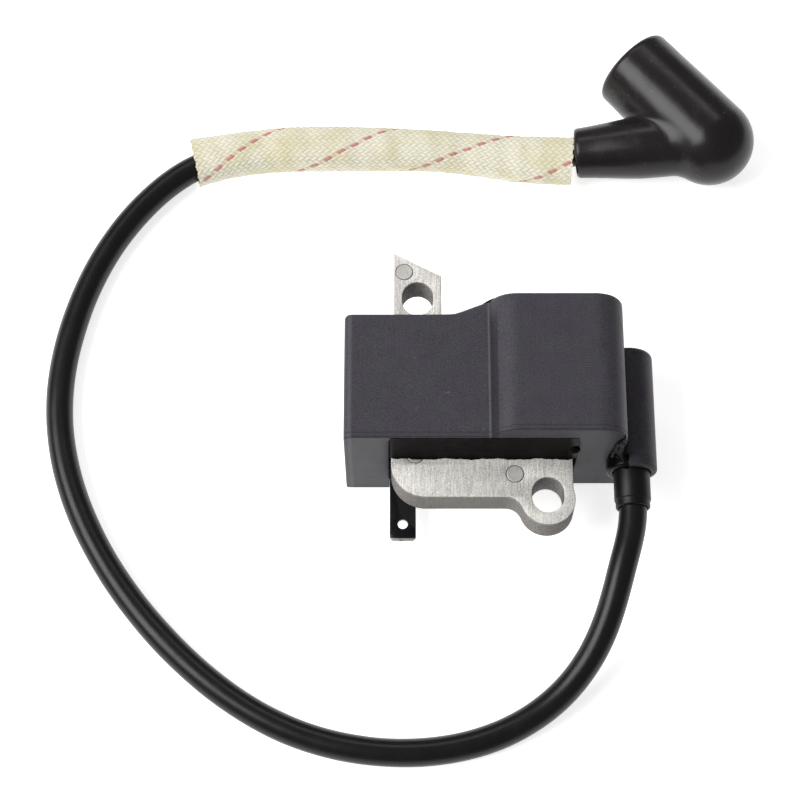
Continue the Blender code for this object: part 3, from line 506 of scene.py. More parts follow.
# --- finishes -------------------------------------------------------------------------------------

def case_nylon(colour):
    """Matt glass-filled nylon: fine mould grain, faint drag lines, a few curved rub marks and dust, a painted
    highlight line at the step's crease and at the left edge, painted shade on the front wall and in a band
    beside the step, and a smear of epoxy beside the tower."""
    f = Finish("case_nylon", Specular_IOR_Level=0.14)
    x, y = ORIGIN[:2] * 1000
    mottle = f.noise(3.2 * MM, 4)
    grain = f.noise(0.26 * MM, 2, 0.7)
    drag = f.noise(0.35 * MM, 2, stretch=(1, 24, 24))
    rubs = f.ring(x + 5.0, y + 2.2, 6.2, 0.09) * 0.8 + f.ring(x + 2.6, y + 12.0, 4.4, 0.07) * 0.5
    rubs = rubs + f.ring(x + 14.0, y + 1.0, 9.0, 0.07) * 0.4
    rubs = rubs * f.noise(1.6 * MM, 3).between(0.5, 0.66)
    dust = f.cells(1.7 * MM).between(0.055, 0.03) * f.noise(5 * MM, 1).between(0.5, 0.6)
    tone = 0.84 + mottle * 0.3 + (grain - 0.5) * 1.6 + (drag - 0.5) * 0.2
    tinted = f.mix(f.noise(4.5 * MM, 2).between(0.4, 0.7) * 0.5, colour, (0.060, 0.047, 0.066))
    base = f.shade(tinted, tone)
    along = f.axis("X") - x
    # Painted highlight: a pale line on the small fillet at the step's foot and on the rounding of the left
    # edge.
    crease = (along - (STEP_FOOT / MM - 0.15)).size().between(0.22, 0.08) * 0.5
    crease = crease + (along - (CASE_LEFT / MM + 1.05)).size().between(0.55, 0.1) * 0.35
    # Painted shade: a dark band on the steep face of the step, faded out towards the back wall.
    shade = (along - (STEP_FOOT / MM + 0.75)).size().between(0.75, 0.45)
    deep = f.axis("Y") - y
    shade = shade * deep.between(RIGHT_BACK / MM - 1.5, RIGHT_BACK / MM - 5.0)
    # Painted shade on the front wall.
    front = deep.between(0.35, 0.15)
    # Both painted shades, on the step band and on the front wall, turn towards the dark colour here.
    base = f.mix(shade * 0.62 + front * 0.42, base, (0.018, 0.017, 0.020))
    across, up = (along - 35.2) * 0.52, (f.axis("Z") - 13.0) * 0.085
    smear = (across * across + up * up).between(1.0, 0.86) * deep.between(0.2, 0.0)
    base = f.mix(smear, base, (0.003, 0.0025, 0.0025))
    # The pale mix takes the rub marks, the dust and the painted highlight lines.
    base = f.mix(rubs * 0.22 + dust * 0.35 + crease * 0.22, base, (0.42, 0.42, 0.44))
    rough = 0.44 + (mottle - 0.5) * 0.16 + (grain - 0.5) * 0.14 - rubs * 0.1 - smear * 0.18
    normal = f.bump(grain + drag * 0.4, 0.022 * MM)
    return f.set(Base_Color=base, Roughness=rough, Normal=normal).material


def resin(colour, name="potting_resin", wave=0.03):
    """Poured epoxy: black and satin, wet from the drop to the right, with slow waves, a few sunk pinholes
    and soft dull patches."""
    f = Finish(name, IOR=1.5, Specular_IOR_Level=0.03)
    slow = f.noise(2.6 * MM, 2, distortion=0.3)
    fine = f.noise(0.5 * MM, 2)
    pin = f.cells(2.4 * MM).between(0.09, 0.03)
    wet = (f.axis("X") - ORIGIN[0] * 1000).between(26.2, 26.6)
    rough = 0.46 + f.noise(4 * MM, 3).between(0.5, 0.75) * 0.12 + fine * 0.06 - wet * 0.34
    base = f.mix(slow, colour, (0.006, 0.004, 0.0035))
    normal = f.bump(slow + fine * 0.06 - pin * 0.25, wave * MM)
    return f.set(Base_Color=base, Roughness=rough, Normal=normal).material


def core_sheet(colour):
    """Stamped silicon steel: a speckled rolled face with fine grain along y, and darker sheet edges that are
    partly the cut edges' own tone and partly painted shade on the upright faces.
    """
    f = Finish("core_sheet", Metallic=0.15, Specular_IOR_Level=0.2)
    speckle = f.noise(0.24 * MM, 3, 0.7)
    grain = f.noise(0.20 * MM, 3, stretch=(1, 14, 14))
    cloud = f.noise(3.0 * MM, 3)
    stain = f.noise(5.0 * MM, 4, 0.65).between(0.56, 0.74)
    # Faces steeper than the top turn to the dark laminated colour: partly the cut edges' own tone, partly
    # painted shade.
    flat = f.node("ShaderNodeSeparateXYZ", {}, {0: f.node("ShaderNodeNewGeometry", output="Normal")}, "Z")
    edge = flat.size().between(0.75, 0.35)
    layer = (f.axis("Z") * (math.tau * 2.05)).sine()
    tone = 0.92 + (speckle - 0.5) * 1.5 + (grain - 0.5) * 1.0 + (cloud - 0.5) * 0.2 - stain * 0.06
    base = f.shade(colour, tone)
    base = f.mix(edge * 0.95, base, f.shade((0.125, 0.115, 0.108), 0.8 + layer * 0.3 + (speckle - 0.5) * 2.4))
    rough = 0.52 + (speckle - 0.5) * 0.2 + edge * 0.1 + (grain - 0.5) * 0.12
    normal = f.bump(speckle * 0.7 + grain * 0.8, 0.02 * MM)
    return f.set(Base_Color=base, Roughness=rough, Normal=normal).material


def rivet_steel(colour):
    """Peened rivet heads: duller steel with small hammer marks."""
    f = Finish("rivet_steel", Metallic=0.15)
    dents = f.noise(0.6 * MM, 2)
    speckle = f.noise(0.13 * MM, 2)
    base = f.shade(colour, 0.52 + dents * 0.35 + (speckle - 0.5) * 1.2)
    return f.set(Base_Color=base, Roughness=0.36 + speckle * 0.16,
                 Normal=f.bump(dents + speckle * 0.3, 0.04 * MM)).material


def blade_metal(colour):
    """Dark plated tab: a mirror with faint draw lines, and a paler tip that is partly bare worn metal and
    partly a painted highlight.
    """
    f = Finish("blade_metal", Metallic=0.55)
    lines = f.noise(0.08 * MM, 2, stretch=(1, 30, 30))
    cloud = f.noise(1.8 * MM, 3)
    tip = f.axis("Y") - (ORIGIN[1] + BLADE_TIP) * 1000
    # Paler patches near the tip: bare worn metal, and also a painted highlight on the coined tip.
    tip_wear_and_highlight = tip.between(0.55, 0.30) * f.noise(0.8 * MM, 2).between(0.25, 0.5)
    base = f.mix(tip_wear_and_highlight, f.shade(colour, 0.7 + cloud * 0.6), (0.62, 0.60, 0.56))
    rough = 0.10 + cloud * 0.10 + lines * 0.05
    return f.set(Base_Color=base, Roughness=rough, Normal=f.bump(lines, 0.004 * MM)).material


def soft_black(name, colour, roughness, grain_depth, dust=0.0, lines=0.0):
    """Moulded or drawn black rubber: slow shade changes, fine grain, soft wear and dust specks."""
    f = Finish(name, IOR=1.5, Specular_IOR_Level=0.26)
    cloud = f.noise(5.0 * MM, 4)
    grain = f.noise(0.22 * MM, 2)
    smear = f.noise(2.2 * MM, 3, 0.6, (1, 2.5, 1), (0, 0, 35)).between(0.52, 0.75)
    base = f.shade(colour, 0.75 + cloud * 0.5)
    if dust:
        speck = f.cells(1.35 * MM).between(0.075, 0.03) * f.noise(6 * MM, 2).between(0.47, 0.6)
        base = f.mix(speck * dust, base, (0.5, 0.49, 0.46))
    rough = roughness + (cloud - 0.5) * 0.12 + smear * 0.07 + (grain - 0.5) * 0.05
    normal = f.bump(grain, grain_depth * MM)
    if lines:
        normal = f.bump(f.noise(9 * MM, 2), lines * MM, normal)
    return f.set(Base_Color=base, Roughness=rough, Normal=normal).material


def glass_braid(cream, tracer):
    """Braided glass yarn: cream strands with painted shade in the gaps between them, a yellow tint in patches
    and a red tracer strand, also shaded in its gaps.
    """
    f = Finish("glass_braid", Sheen_Weight=0.25, Sheen_Roughness=0.5)
    depth, red = f.own("strand_height"), f.own("tracer")
    tint = f.noise(7 * MM, 3).between(0.42, 0.66)
    fibre = f.noise(0.11 * MM, 3, 0.7)
    pale = f.mix(tint * 0.5, cream, (0.72, 0.66, 0.33))
    # Painted shade: the lower a point lies under the strands' tops, the nearer it turns to the dark gap
    # colour.
    base = f.mix((1 - depth) * 0.8, pale, (0.50, 0.47, 0.32))
    # The tracer turns to a darker red in the gaps between strands: painted shade as well.
    base = f.mix(red, base, f.mix(depth, (0.30, 0.06, 0.05), tracer))
    base = f.shade(base, 0.86 + fibre * 0.26)
    return f.set(Base_Color=base, Roughness=0.62 + fibre * 0.2,
                 Normal=f.bump(fibre, 0.035 * MM)).material


def winding(name, colour, pitch, axis="Y"):
    """Enamelled wire laid turn by turn: rounded ridges with painted shade in the grooves between turns, and
    slow changes of tone.
    """
    f = Finish(name, Metallic=0.75)
    ridge = (f.axis(axis) * (math.tau / pitch)).sine()
    cloud = f.noise(2 * MM, 3)
    # Painted shade: the tone follows the ridges and is darker in the grooves between turns.
    base = f.shade(colour, 0.75 + ridge * 0.2 + cloud * 0.3)
    return f.set(Base_Color=base, Roughness=0.3 + cloud * 0.12, Normal=f.bump(ridge, 0.05 * MM)).material


def plain_coat(name, colour, roughness, metallic=0.0, grain=0.3, depth=0.015, cloud=3.0, stretch=(1, 1, 1)):
    """A moulded, dipped or plated finish: a cloudy base with a fine grain."""
    f = Finish(name, Metallic=metallic)
    slow = f.noise(cloud * MM, 3)
    fine = f.noise(grain * MM, 3, stretch=stretch)
    base = f.shade(colour, 0.78 + slow * 0.26 + (fine - 0.5) * 0.24)
    rough = roughness + (slow - 0.5) * 0.12 + (fine - 0.5) * 0.1
    return f.set(Base_Color=base, Roughness=rough, Normal=f.bump(fine, depth * MM)).material


def board_laminate(colour):
    """Glass laminate under green lacquer, with a woven ground and tinned tracks."""
    f = Finish("board_laminate")
    thread = math.tau / 0.7
    weave = (f.axis("X") * thread).sine() * (f.axis("Y") * thread).sine()
    track = f.cells(3.2 * MM, "DISTANCE_TO_EDGE").between(0.10, 0.07)
    base = f.mix(track * 0.8, f.shade(colour, 0.85 + weave * 0.1), (0.16, 0.34, 0.14))
    return f.set(Base_Color=base, Roughness=0.34 + weave * 0.04,
                 Normal=f.bump(track + weave * 0.1, 0.03 * MM)).material


def paper(colour, glow):
    """The studio's pale sweep, with hardly a grain."""
    f = Finish("studio_paper", Emission_Color=(*glow, 1.0), Emission_Strength=1.0)
    cloud = f.noise(0.09, 2)
    return f.set(Base_Color=f.shade(colour, 0.985 + cloud * 0.03), Roughness=0.82 + cloud * 0.08).material


# --- what a user may change -----------------------------------------------------------------------

def colour(name, description, default):
    return bpy.props.FloatVectorProperty(
        name=name, description=description, subtype="COLOR", size=3, min=0.0, max=1.0, default=default)


def length(name, description, default, low=0.0, high=0.1):
    return bpy.props.FloatProperty(
        name=name, description=description, subtype="DISTANCE", unit="LENGTH", default=default, min=low,
        max=high, precision=5)


class CoilColours(bpy.types.PropertyGroup):
    """Base colours of the finishes."""

    case: colour("Case", "Moulded nylon of the housing and its tower", (0.059, 0.0565, 0.067))
    resin: colour("Resin", "Poured epoxy", (0.002, 0.0018, 0.002))
    steel: colour("Core steel", "Rolled face of the core's sheets", (0.80, 0.775, 0.73))
    blade: colour("Blade", "Plating of the kill-switch tab", (0.012, 0.012, 0.014))
    lead: colour("Lead", "Jacket of the high-tension lead", (0.0075, 0.0075, 0.0082))
    boot: colour("Boot", "Rubber of the plug boot", (0.0150, 0.0122, 0.0130))
    braid: colour("Sleeve", "Glass yarn of the sleeve", (0.93, 0.895, 0.74))
    tracer: colour("Tracer", "Red strand in the sleeve", (0.70, 0.29, 0.24))
    copper: colour("Copper", "Enamelled winding wire", (0.62, 0.25, 0.11))
    floor: colour("Floor", "Studio sweep", (0.93, 0.93, 0.93))
    glow: colour("Floor glow", "Light that the sweep gives out, to stay pale", (0.72, 0.72, 0.72))


class CoilShapes(bpy.types.PropertyGroup):
    """Fine sizes of the visible pieces, over and above the frame's own."""

    front_edge: length("Front edge", "Rounding of the housing's front edges", 0.0004)
    back_edge: length("Back edge", "Rounding of the housing's back edges", 0.0009)
    seam_depth: length("Seam depth", "Depth of the parting line behind the front edge", 0.0001)
    sheet: length("Sheet", "Thickness of one core sheet", 0.00049)
    bead: length("Bead", "How far the front epoxy leans out at its foot", 0.00016)
    blend: length("Boot blend", "Radius where the boot's tube meets its barrel", 0.0003)
    strand: length("Strand", "How far a sleeve strand stands over the gaps", 0.00022)
    strands: bpy.props.IntProperty(
        name="Strands", description="Strands each way round the sleeve", default=34, min=8, max=64)
    lay: length("Lay", "Length of the sleeve in which a strand goes once round", 0.0435)


class CoilStage(bpy.types.PropertyGroup):
    """Floor, lights and camera."""

    lens: bpy.props.FloatProperty(
        name="Lens", description="Focal length of the camera, in millimetres", default=96.84, min=20, max=300)
    distance: length("Distance", "From the camera to the point it looks at", 0.400, 0.1, 3.0)
    elevation: bpy.props.FloatProperty(
        name="Elevation", description="Height of the camera above the horizon", subtype="ANGLE",
        default=math.radians(67.5), min=0.0, max=math.radians(90))
    left_box: bpy.props.FloatProperty(
        name="Left box", description="Power of the large left soft box, in watts", default=11.5, min=0.0)
    back_box: bpy.props.FloatProperty(
        name="Back box", description="Power of the strip light behind, in watts", default=1.3, min=0.0)
    fill: bpy.props.FloatProperty(
        name="Fill", description="Strength of the even light all round", default=0.20)


# --- the case -------------------------------------------------------------------------------------

def case_arch(inset):
    """The housing's front outline, drawn in by inset: up the left wall, over the low top, up the step, over
    the high top and down the right wall, as (x, z)."""
    left, right = CASE_LEFT + inset, CASE_RIGHT - inset
    low, high = LOW_TOP - inset, HIGH_TOP - inset
    return rounded_path([
        (left, 0.0, 0.0), (left, low, LOW_CORNER - min(inset, 1.2 * MM)),
        (STEP_FOOT + inset / 2, low, 0.25 * MM), (STEP_HEAD + inset / 2, high, STEP_CURVE - inset),
        (right, high, HIGH_CORNER - inset), (right, 0.0, 0.0)], (24, 44, 2, 26, 24), 14)


def slot_arch(slot, grow, shares):
    """A wall opening's outline, grown outwards, read at shares: 0 to 1 up, 1 to 2 across and 2 to 3 down."""
    left, right, top, corner = slot[0] - grow, slot[1] + grow, slot[2] + grow, 0.6 * MM + grow
    path = rounded_path([
        (left, 0.0, 0.0), (left, top, corner), (right, top, corner), (right, 0.0, 0.0)], (20, 40, 20))
    at = arch_shares(path, 26, len(path) - 27)
    return np.stack([np.interp(shares, at, path[:, 0]), np.interp(shares, at, path[:, 1])], 1)


def arch_shares(path, first, second):
    """The distance along a path as shares: 1 at its first corner, 2 at its second and 3 at its end."""
    lengths = walked(path)
    marks = lengths[[0, first, second, len(path) - 1]]
    return np.interp(lengths, marks, [0.0, 1.0, 2.0, 3.0])


def case_back(x):
    """y of the back wall: two flats and a slant between them, eased at both of its ends."""
    share = (x - SLANT_START) / (STEP_FOOT - SLANT_START)
    ease = 0.12
    risen = (np.sqrt(share ** 2 + ease ** 2) - np.sqrt((share - 1) ** 2 + ease ** 2) + 1) / 2
    return LEFT_BACK + (RIGHT_BACK - LEFT_BACK) * risen


def case_skin(inset, front_edge, back_edge, seam):
    """Rows from the front opening, over the front wall, along the case, and over the back wall to the rear
    opening. A rounded edge moves by its radius times 1 - sine one way and 1 - cosine the other."""
    shares = arch_shares(case_arch(0.0), 31, len(case_arch(0.0)) - 32)
    rows = []

    def add(outline, y):
        rows.append(np.column_stack([outline[:, 0], np.broadcast_to(y, len(outline)), outline[:, 1]]))

    lip = SLOT_LIP
    quarter = np.linspace(0, math.pi / 2, 6)
    for angle in quarter[:-1]:
        add(slot_arch(FRONT_SLOT, lip * (1 - math.cos(angle)), shares), inset + lip * (1 - math.sin(angle)))
    face, opening = case_arch(inset + front_edge), slot_arch(FRONT_SLOT, lip, shares)
    for share in np.linspace(0, 1, 6)[:-1]:
        add(opening + (face - opening) * share, inset)
    for angle in quarter:
        add(case_arch(inset + front_edge * (1 - math.sin(angle))), inset + front_edge * (1 - math.cos(angle)))
    body = case_arch(inset)
    back = case_back(body[:, 0]) - inset
    for behind, depth in ((0.35, 0.0), (0.43, 1.0), (0.55, 1.0), (0.63, 0.0)):
        add(case_arch(inset + seam * depth), inset + front_edge + behind * MM)
    start = inset + front_edge + 0.8 * MM
    for share in np.linspace(0, 1, 22)[:-1]:
        add(body, start + (back - back_edge - start) * share)
    for angle in quarter:
        outline = case_arch(inset + back_edge * (1 - math.cos(angle)))
        add(outline, case_back(outline[:, 0]) - inset - back_edge * (1 - math.sin(angle)))
    face, opening = case_arch(inset + back_edge), slot_arch(REAR_SLOT, lip, shares)
    step = (face[-1, 0] - STEP_FOOT) / (face[-1, 0] - opening[-1, 0])
    for share in sorted([*np.linspace(0, 1, 34)[1:], step - 0.004, step + 0.004]):
        outline = face + (opening - face) * share
        add(outline, case_back(outline[:, 0]) - inset)
    for angle in quarter[1:]:
        outline = slot_arch(REAR_SLOT, lip * (1 - math.sin(angle)), shares)
        add(outline, LEFT_BACK - inset - lip * (1 - math.cos(angle)))
    rows = np.array(rows)
    lift = smooth_step((rows[..., 0] - STEP_FOOT) / (0.1 * MM) + 0.5) * RIGHT_BOTTOM
    rows[..., 2] += lift * np.clip(1 - rows[..., 2] / (4 * MM), 0, 1)
    return rows


def tower_profile():
    """The outlet tower: its blind bore, the mouth that holds the collar, and the outside to its back end."""
    depth = TOWER_BACK - TOWER_FRONT
    bore, mouth = LEAD_RADIUS + 0.3 * MM, COLLAR_RADIUS + 0.12 * MM
    round_front, round_back = 0.7 * MM, 1.1 * MM
    seat = COLLAR_IN + 0.3 * MM
    inside = [(depth - 2 * MM, 1e-5), (depth - 2 * MM, bore), (seat, bore), (seat, mouth), (0.3 * MM, mouth)]
    lip = arc((0.3 * MM, mouth + 0.3 * MM), 0.3 * MM, 270, 180, 5)
    front = arc((round_front, TOWER_RADIUS - round_front), round_front, 180, 90, 8)
    back = arc((depth - round_back, TOWER_RADIUS - round_back), round_back, 90, 0, 9)
    return np.concatenate([inside, lip, front, back, [(depth, 1e-5)]])


class COIL_OT_case(bpy.types.Operator):
    """Builds the housing with its walls and openings, and the outlet tower on its right wall"""

    bl_idname = "coil.case"
    bl_label = "Housing"

    def execute(self, context):
        shapes = context.scene.coil_shapes
        outer = case_skin(0.0, shapes.front_edge, shapes.back_edge, shapes.seam_depth)
        inner = case_skin(CASE_WALL, 0.1 * MM, 0.1 * MM, 0.0)
        form = Form().shell(outer, inner)
        form.grid(revolved(tower_profile(), (TOWER_X, TOWER_FRONT, TOWER_Z), (0, 1, 0), 96), True, True)
        form.build("case", case_nylon(tuple(context.scene.coil_colours.case)), 50,
                   slot="housing_nylon", stands_for=["housing_shell"])
        return {"FINISHED"}


# --- epoxy ----------------------------------------------------------------------------------------

def case_top(x):
    """Height of the housing's top over x."""
    arch = case_arch(0.0)[31:-31]
    return np.interp(x, arch[:, 0], arch[:, 1])


def front_bead(bulge):
    """The epoxy that fills the front opening over the yoke: a thin smear up to the top edge, a face that
    leans out by the bulge times a power of the depth, and a small uneven foot on the steel."""
    x = np.linspace(YOKE_LEFT - 0.2 * MM, FRONT_SLOT[1] + 0.1 * MM, 260)[:, None]
    down = np.linspace(0, 1, 34)[None]
    top = np.minimum(case_top(x), LOW_TOP) - 0.45 * MM
    top = top + ripple(x, (0.06, 5.1, 0.4), (0.03, 1.9, 2.0))
    foot = CORE_HIGH + 0.02 * MM
    height = top + (foot - top) * down
    swell = np.clip((FRONT_SLOT[2] - height) / (FRONT_SLOT[2] - foot), 0, 1)
    out = 0.08 * MM + bulge * swell ** 0.7
    out += ripple(x, (0.05, 9.3, 1.0), (0.02, 3.7, 0.2)) * np.sin(math.pi * down)
    spread = ripple(x, (0.10, 8.1, 0.7), (0.06, 3.3, 2.4), (0.03, 1.3, 0.3))
    out += (spread + 0.22 * MM) * down ** 14
    out *= 1 - 0.9 * np.exp(-((x - x[0]) / (0.4 * MM)) ** 2) - 0.9 * np.exp(-((x - x[-1]) / (0.4 * MM)) ** 2)
    front = np.stack(np.broadcast_arrays(x, -out - 0.02 * MM, height), -1)
    behind = front[:, [-1, 0]] * [1, 0, 1] + [0, 1.0 * MM, 0]
    return np.concatenate([front, behind], 1)


def drop():
    """A drop of epoxy on the front: a dome whose height falls as the root of 1 less the radius squared."""
    share = np.sin(np.linspace(0, math.pi / 2, 10))
    profile = [(-0.15 * MM, 1e-6), (-0.15 * MM, DROP_RADIUS)] + [
        (DROP_HEIGHT * math.sqrt(max(0.0, 1 - s * s)), max(DROP_RADIUS * s, 1e-6)) for s in share[::-1]]
    return revolved(profile, DROP, (0, -1, 0.45), 28)


def outlet_bead():
    """The epoxy in the valley between the front wall and the tower: a crescent on the wall. Its left side is
    a half sine over the height. It stands out as the root of a quarter sine beside that side, and climbs on
    to the tower's front as a power of the way across."""
    z = np.linspace(*OUTLET_BEAD, 90)[:, None]
    across = np.linspace(0, 1, 40)[None]
    share = (z - z[0]) / (z[-1] - z[0])
    left = 35.5 * MM - 1.55 * MM * np.sin(math.pi * share) ** 0.9
    left = left + ripple(z, (0.10, 6.0, 0.3), (0.04, 2.1, 1.2))
    above = smooth_step((z - 15.0 * MM) / (4.0 * MM))
    over = np.maximum(z - HIGH_TOP + HIGH_CORNER, 0)
    round_top = CASE_RIGHT - HIGH_CORNER + np.sqrt(np.maximum(HIGH_CORNER ** 2 - over ** 2, 0))
    right = (36.9 * MM) * (1 - above) + (round_top - 0.05 * MM) * above
    x = left + (right - left) * across
    out = (2.0 * MM - 1.65 * MM * above) * smooth_step(across * 1.1) ** 1.6
    out = out * smooth_step((z - OUTLET_BEAD[0]) / (1.5 * MM) + 0.2)
    out = out + 0.40 * MM * np.sqrt(np.sin(math.pi * np.minimum(across * 2.5, 0.5))) - 0.08 * MM
    wave = ripple(z + 0.6 * x, (0.05, 3.9, 0.3), (0.02, 1.7, 2.0))
    out = out + wave * np.sin(math.pi * across)
    front = np.stack(np.broadcast_arrays(x, -out, z), -1)
    behind = front[:, [-1, 0]] * [1, 0, 1] + [0, 0.4 * MM, 0]
    return np.concatenate([front, behind], 1)


def pool():
    """The epoxy in the open underside: level, rising a little at the walls, with the case's step in it."""
    a, b = np.meshgrid(np.linspace(0, 1, 130), np.linspace(0, 1, 64), indexing="ij")
    gap = 1.62 * MM
    x = CASE_LEFT + gap + a * (CASE_RIGHT - CASE_LEFT - 2 * gap)
    y = gap + b * (case_back(x) - 2 * gap)
    wall = np.minimum.reduce([x - CASE_LEFT - gap, CASE_RIGHT - gap - x, y - gap, case_back(x) - gap - y])
    rise = 0.32 * MM * np.exp(-wall / (0.9 * MM))
    wave = ripple(x + 0.3 * y, (0.03, 9, 0.2), (0.02, 5, 1.0)) + ripple(y, (0.03, 8, 2.0))
    step = smooth_step((x - STEP_FOOT) / (1.6 * MM) + 0.5) * RIGHT_BOTTOM
    under = np.stack([x, y, 0.42 * MM + step - rise * 0.9 + wave], -1)
    over = np.stack([x, y, np.where(x < STEP_FOOT, 3.2 * MM, 4.0 * MM)], -1)
    return under, over


def skirt(low_x, high_x, wall_y, outward, top):
    """A wavy upright face of epoxy under the core, in one of the wall openings."""
    x, z = np.meshgrid(np.linspace(low_x, high_x, 80), np.linspace(0.5 * MM, top, 26), indexing="ij")
    sag = 0.14 * MM * np.sin(math.pi * (z - z.min()) / np.ptp(z))
    sag = sag + ripple(x, (0.05, 8, 0.5), (0.03, 3, 2))
    face = np.stack([x, wall_y + outward * (sag - 0.05 * MM), z], -1)
    return face, face * [1, 0, 1] + [0, wall_y - outward * CASE_WALL, 0]


def rear_collar():
    """A fillet of epoxy round the leg where it leaves the back wall: a quarter circle from wall to leg."""
    half_x, half_z, corner = LEG_HALF, (CORE_HIGH - CORE_LOW) / 2, 0.9 * MM
    turns = np.linspace(0, math.tau, 160, endpoint=False)
    c, s = np.cos(turns), np.sin(turns)
    middle = (CORE_HIGH + CORE_LOW) / 2
    down = np.linspace(0, math.pi / 2, 10)
    rows = []
    for angle in down:
        uneven = 1 + 0.12 * np.sin(3 * turns + 1) + 0.08 * np.sin(7 * turns)
        grow = 1.25 * MM * (1 - math.sin(angle)) * uneven
        out = 0.95 * MM * (1 - math.cos(angle))
        power = 0.22
        x = (half_x + grow) * np.sign(c) * np.abs(c) ** power
        z = middle + (half_z + grow) * np.sign(s) * np.abs(s) ** power
        rows.append(np.stack([x, np.full_like(x, LEFT_BACK + 0.02 * MM + out), z], -1))
    inner = rows[-1] * [0.97, 0, 1] + [0, LEFT_BACK - 0.4 * MM, 0]
    outer = rows[0] * [1, 0, 1] + [0, LEFT_BACK - 0.4 * MM, 0]
    return np.array([outer, *rows, inner, outer])


class COIL_OT_resin(bpy.types.Operator):
    """Builds the poured epoxy: two beads in front, the pool underneath and the fillet round the leg"""

    bl_idname = "coil.resin"
    bl_label = "Epoxy"

    def execute(self, context):
        colours, shapes = context.scene.coil_colours, context.scene.coil_shapes
        black = resin(tuple(colours.resin))
        front = Form().grid(front_bead(shapes.bead), True, True)
        front.grid(drop(), True, True)
        front.build("front_resin_bead", black, 60, slot="potting_epoxy", stands_for=["front_potting_bead"])
        Form().grid(outlet_bead(), True, True).build(
            "outlet_resin_bead", black, 60, slot="potting_epoxy", stands_for=["outlet_potting_bead"])
        Form().grid(rear_collar(), True).build(
            "rear_resin_bead", black, 60, slot="potting_epoxy", stands_for=["rear_potting_bead"])
        base = Form().shell(*pool())
        gap, top = 0.25 * MM, CORE_LOW - 0.02 * MM
        base.shell(*skirt(YOKE_LEFT - gap, FRONT_SLOT[1] - 0.05 * MM, gap, -1, top))
        base.shell(*skirt(-LEG_HALF - gap, LEG_HALF + gap, LEFT_BACK - gap, 1, top))
        base.build("resin_pool", resin(tuple(colours.resin), "pool_resin", 0.04), 50,
                   slot="potting_epoxy", stands_for=["potting_base"])
        return {"FINISHED"}


# --- core -----------------------------------------------------------------------------------------

def core_outline():
    """The sheet's outline: the slanted leg tip, the yoke with its round corner, and the ear on its neck."""
    ear_x, ear_y, ear_r = EAR
    neck_y = YOKE_FRONT - EAR_NECK
    neck_x = ear_x - math.sqrt((ear_r + EAR_NECK) ** 2 - (ear_y - neck_y) ** 2)
    neck = math.degrees(math.atan2(ear_y - neck_y, ear_x - neck_x))
    edge = math.degrees(math.acos((YOKE_RIGHT - ear_x) / ear_r))
    return np.concatenate([
        [(-LEG_HALF, LEG_TIP_LEFT), (LEG_HALF, LEG_TIP_RIGHT)],
        [(LEG_HALF, YOKE_REAR), (YOKE_RIGHT, YOKE_REAR)],
        arc((ear_x, ear_y), ear_r, edge, neck - 180, 56), arc((neck_x, neck_y), EAR_NECK, neck, 90, 16)[1:],
        arc((YOKE_LEFT + YOKE_CORNER, YOKE_FRONT + YOKE_CORNER), YOKE_CORNER, 270, 180, 30),
        [(YOKE_LEFT, YOKE_REAR), (-LEG_HALF, YOKE_REAR + 0.5 * MM)]])


def slot_outline(x, y):
    """A screw slot along y with round ends."""
    reach, radius = (SLOT_LENGTH - SLOT_WIDTH) / 2, SLOT_WIDTH / 2
    return np.concatenate([
        arc((x, y + reach), radius, 0, 180, 33), arc((x, y - reach), radius, 180, 360, 33)])


class COIL_OT_core(bpy.types.Operator):
    """Builds the core as a stack of stamped sheets, and its rivets"""

    bl_idname = "coil.core"
    bl_label = "Core"

    def execute(self, context):
        colours = context.scene.coil_colours
        rivet_hole = RIVET_RADIUS + 0.10 * MM
        outlines = [core_outline()[::-1]] + [slot_outline(*slot) for slot in SLOTS]
        outlines += [arc(place, rivet_hole, 0, 360, 37)[:-1] for place in RIVETS]
        count = round((CORE_HIGH - CORE_LOW) / context.scene.coil_shapes.sheet)
        levels = np.linspace(CORE_LOW, CORE_HIGH, count + 1)
        form = Form()
        for i, (low, high) in enumerate(zip(levels, levels[1:])):
            bevel = 0.13 * MM if i in (0, count - 1) else 0.05 * MM
            form.add(*plate(outlines, low + 0.004 * MM, high - 0.004 * MM, bevel))
        form.build("core_sheets", core_sheet(tuple(colours.steel)), 50,
                   slot="core_steel", stands_for=["laminated_core"])
        steel = rivet_steel(tuple(colours.steel))
        head = ((0.02, 0.0), (0.02, 0.50), (0.045, 0.78), (0.06, 0.86), (0.055, 0.93), (0.02, 0.985),
                (-0.06, 1.0))
        top = [(CORE_HIGH + rise * MM, share * RIVET_RADIUS) for rise, share in head]
        bottom = [(CORE_LOW - rise * MM, share * RIVET_RADIUS) for rise, share in head[::-1]]
        profile = [(along, max(radius, 1e-6)) for along, radius in top + bottom]
        for i, (x, y) in enumerate(RIVETS):
            Form().grid(revolved(profile, (x, y, 0.0), (0, 0, 1), 48), True, True).build(
                f"rivet_{i + 1}", steel, 40, slot="core_steel", stands_for=[f"core_rivet_{i + 1}"])
        return {"FINISHED"}


# --- blade ----------------------------------------------------------------------------------------

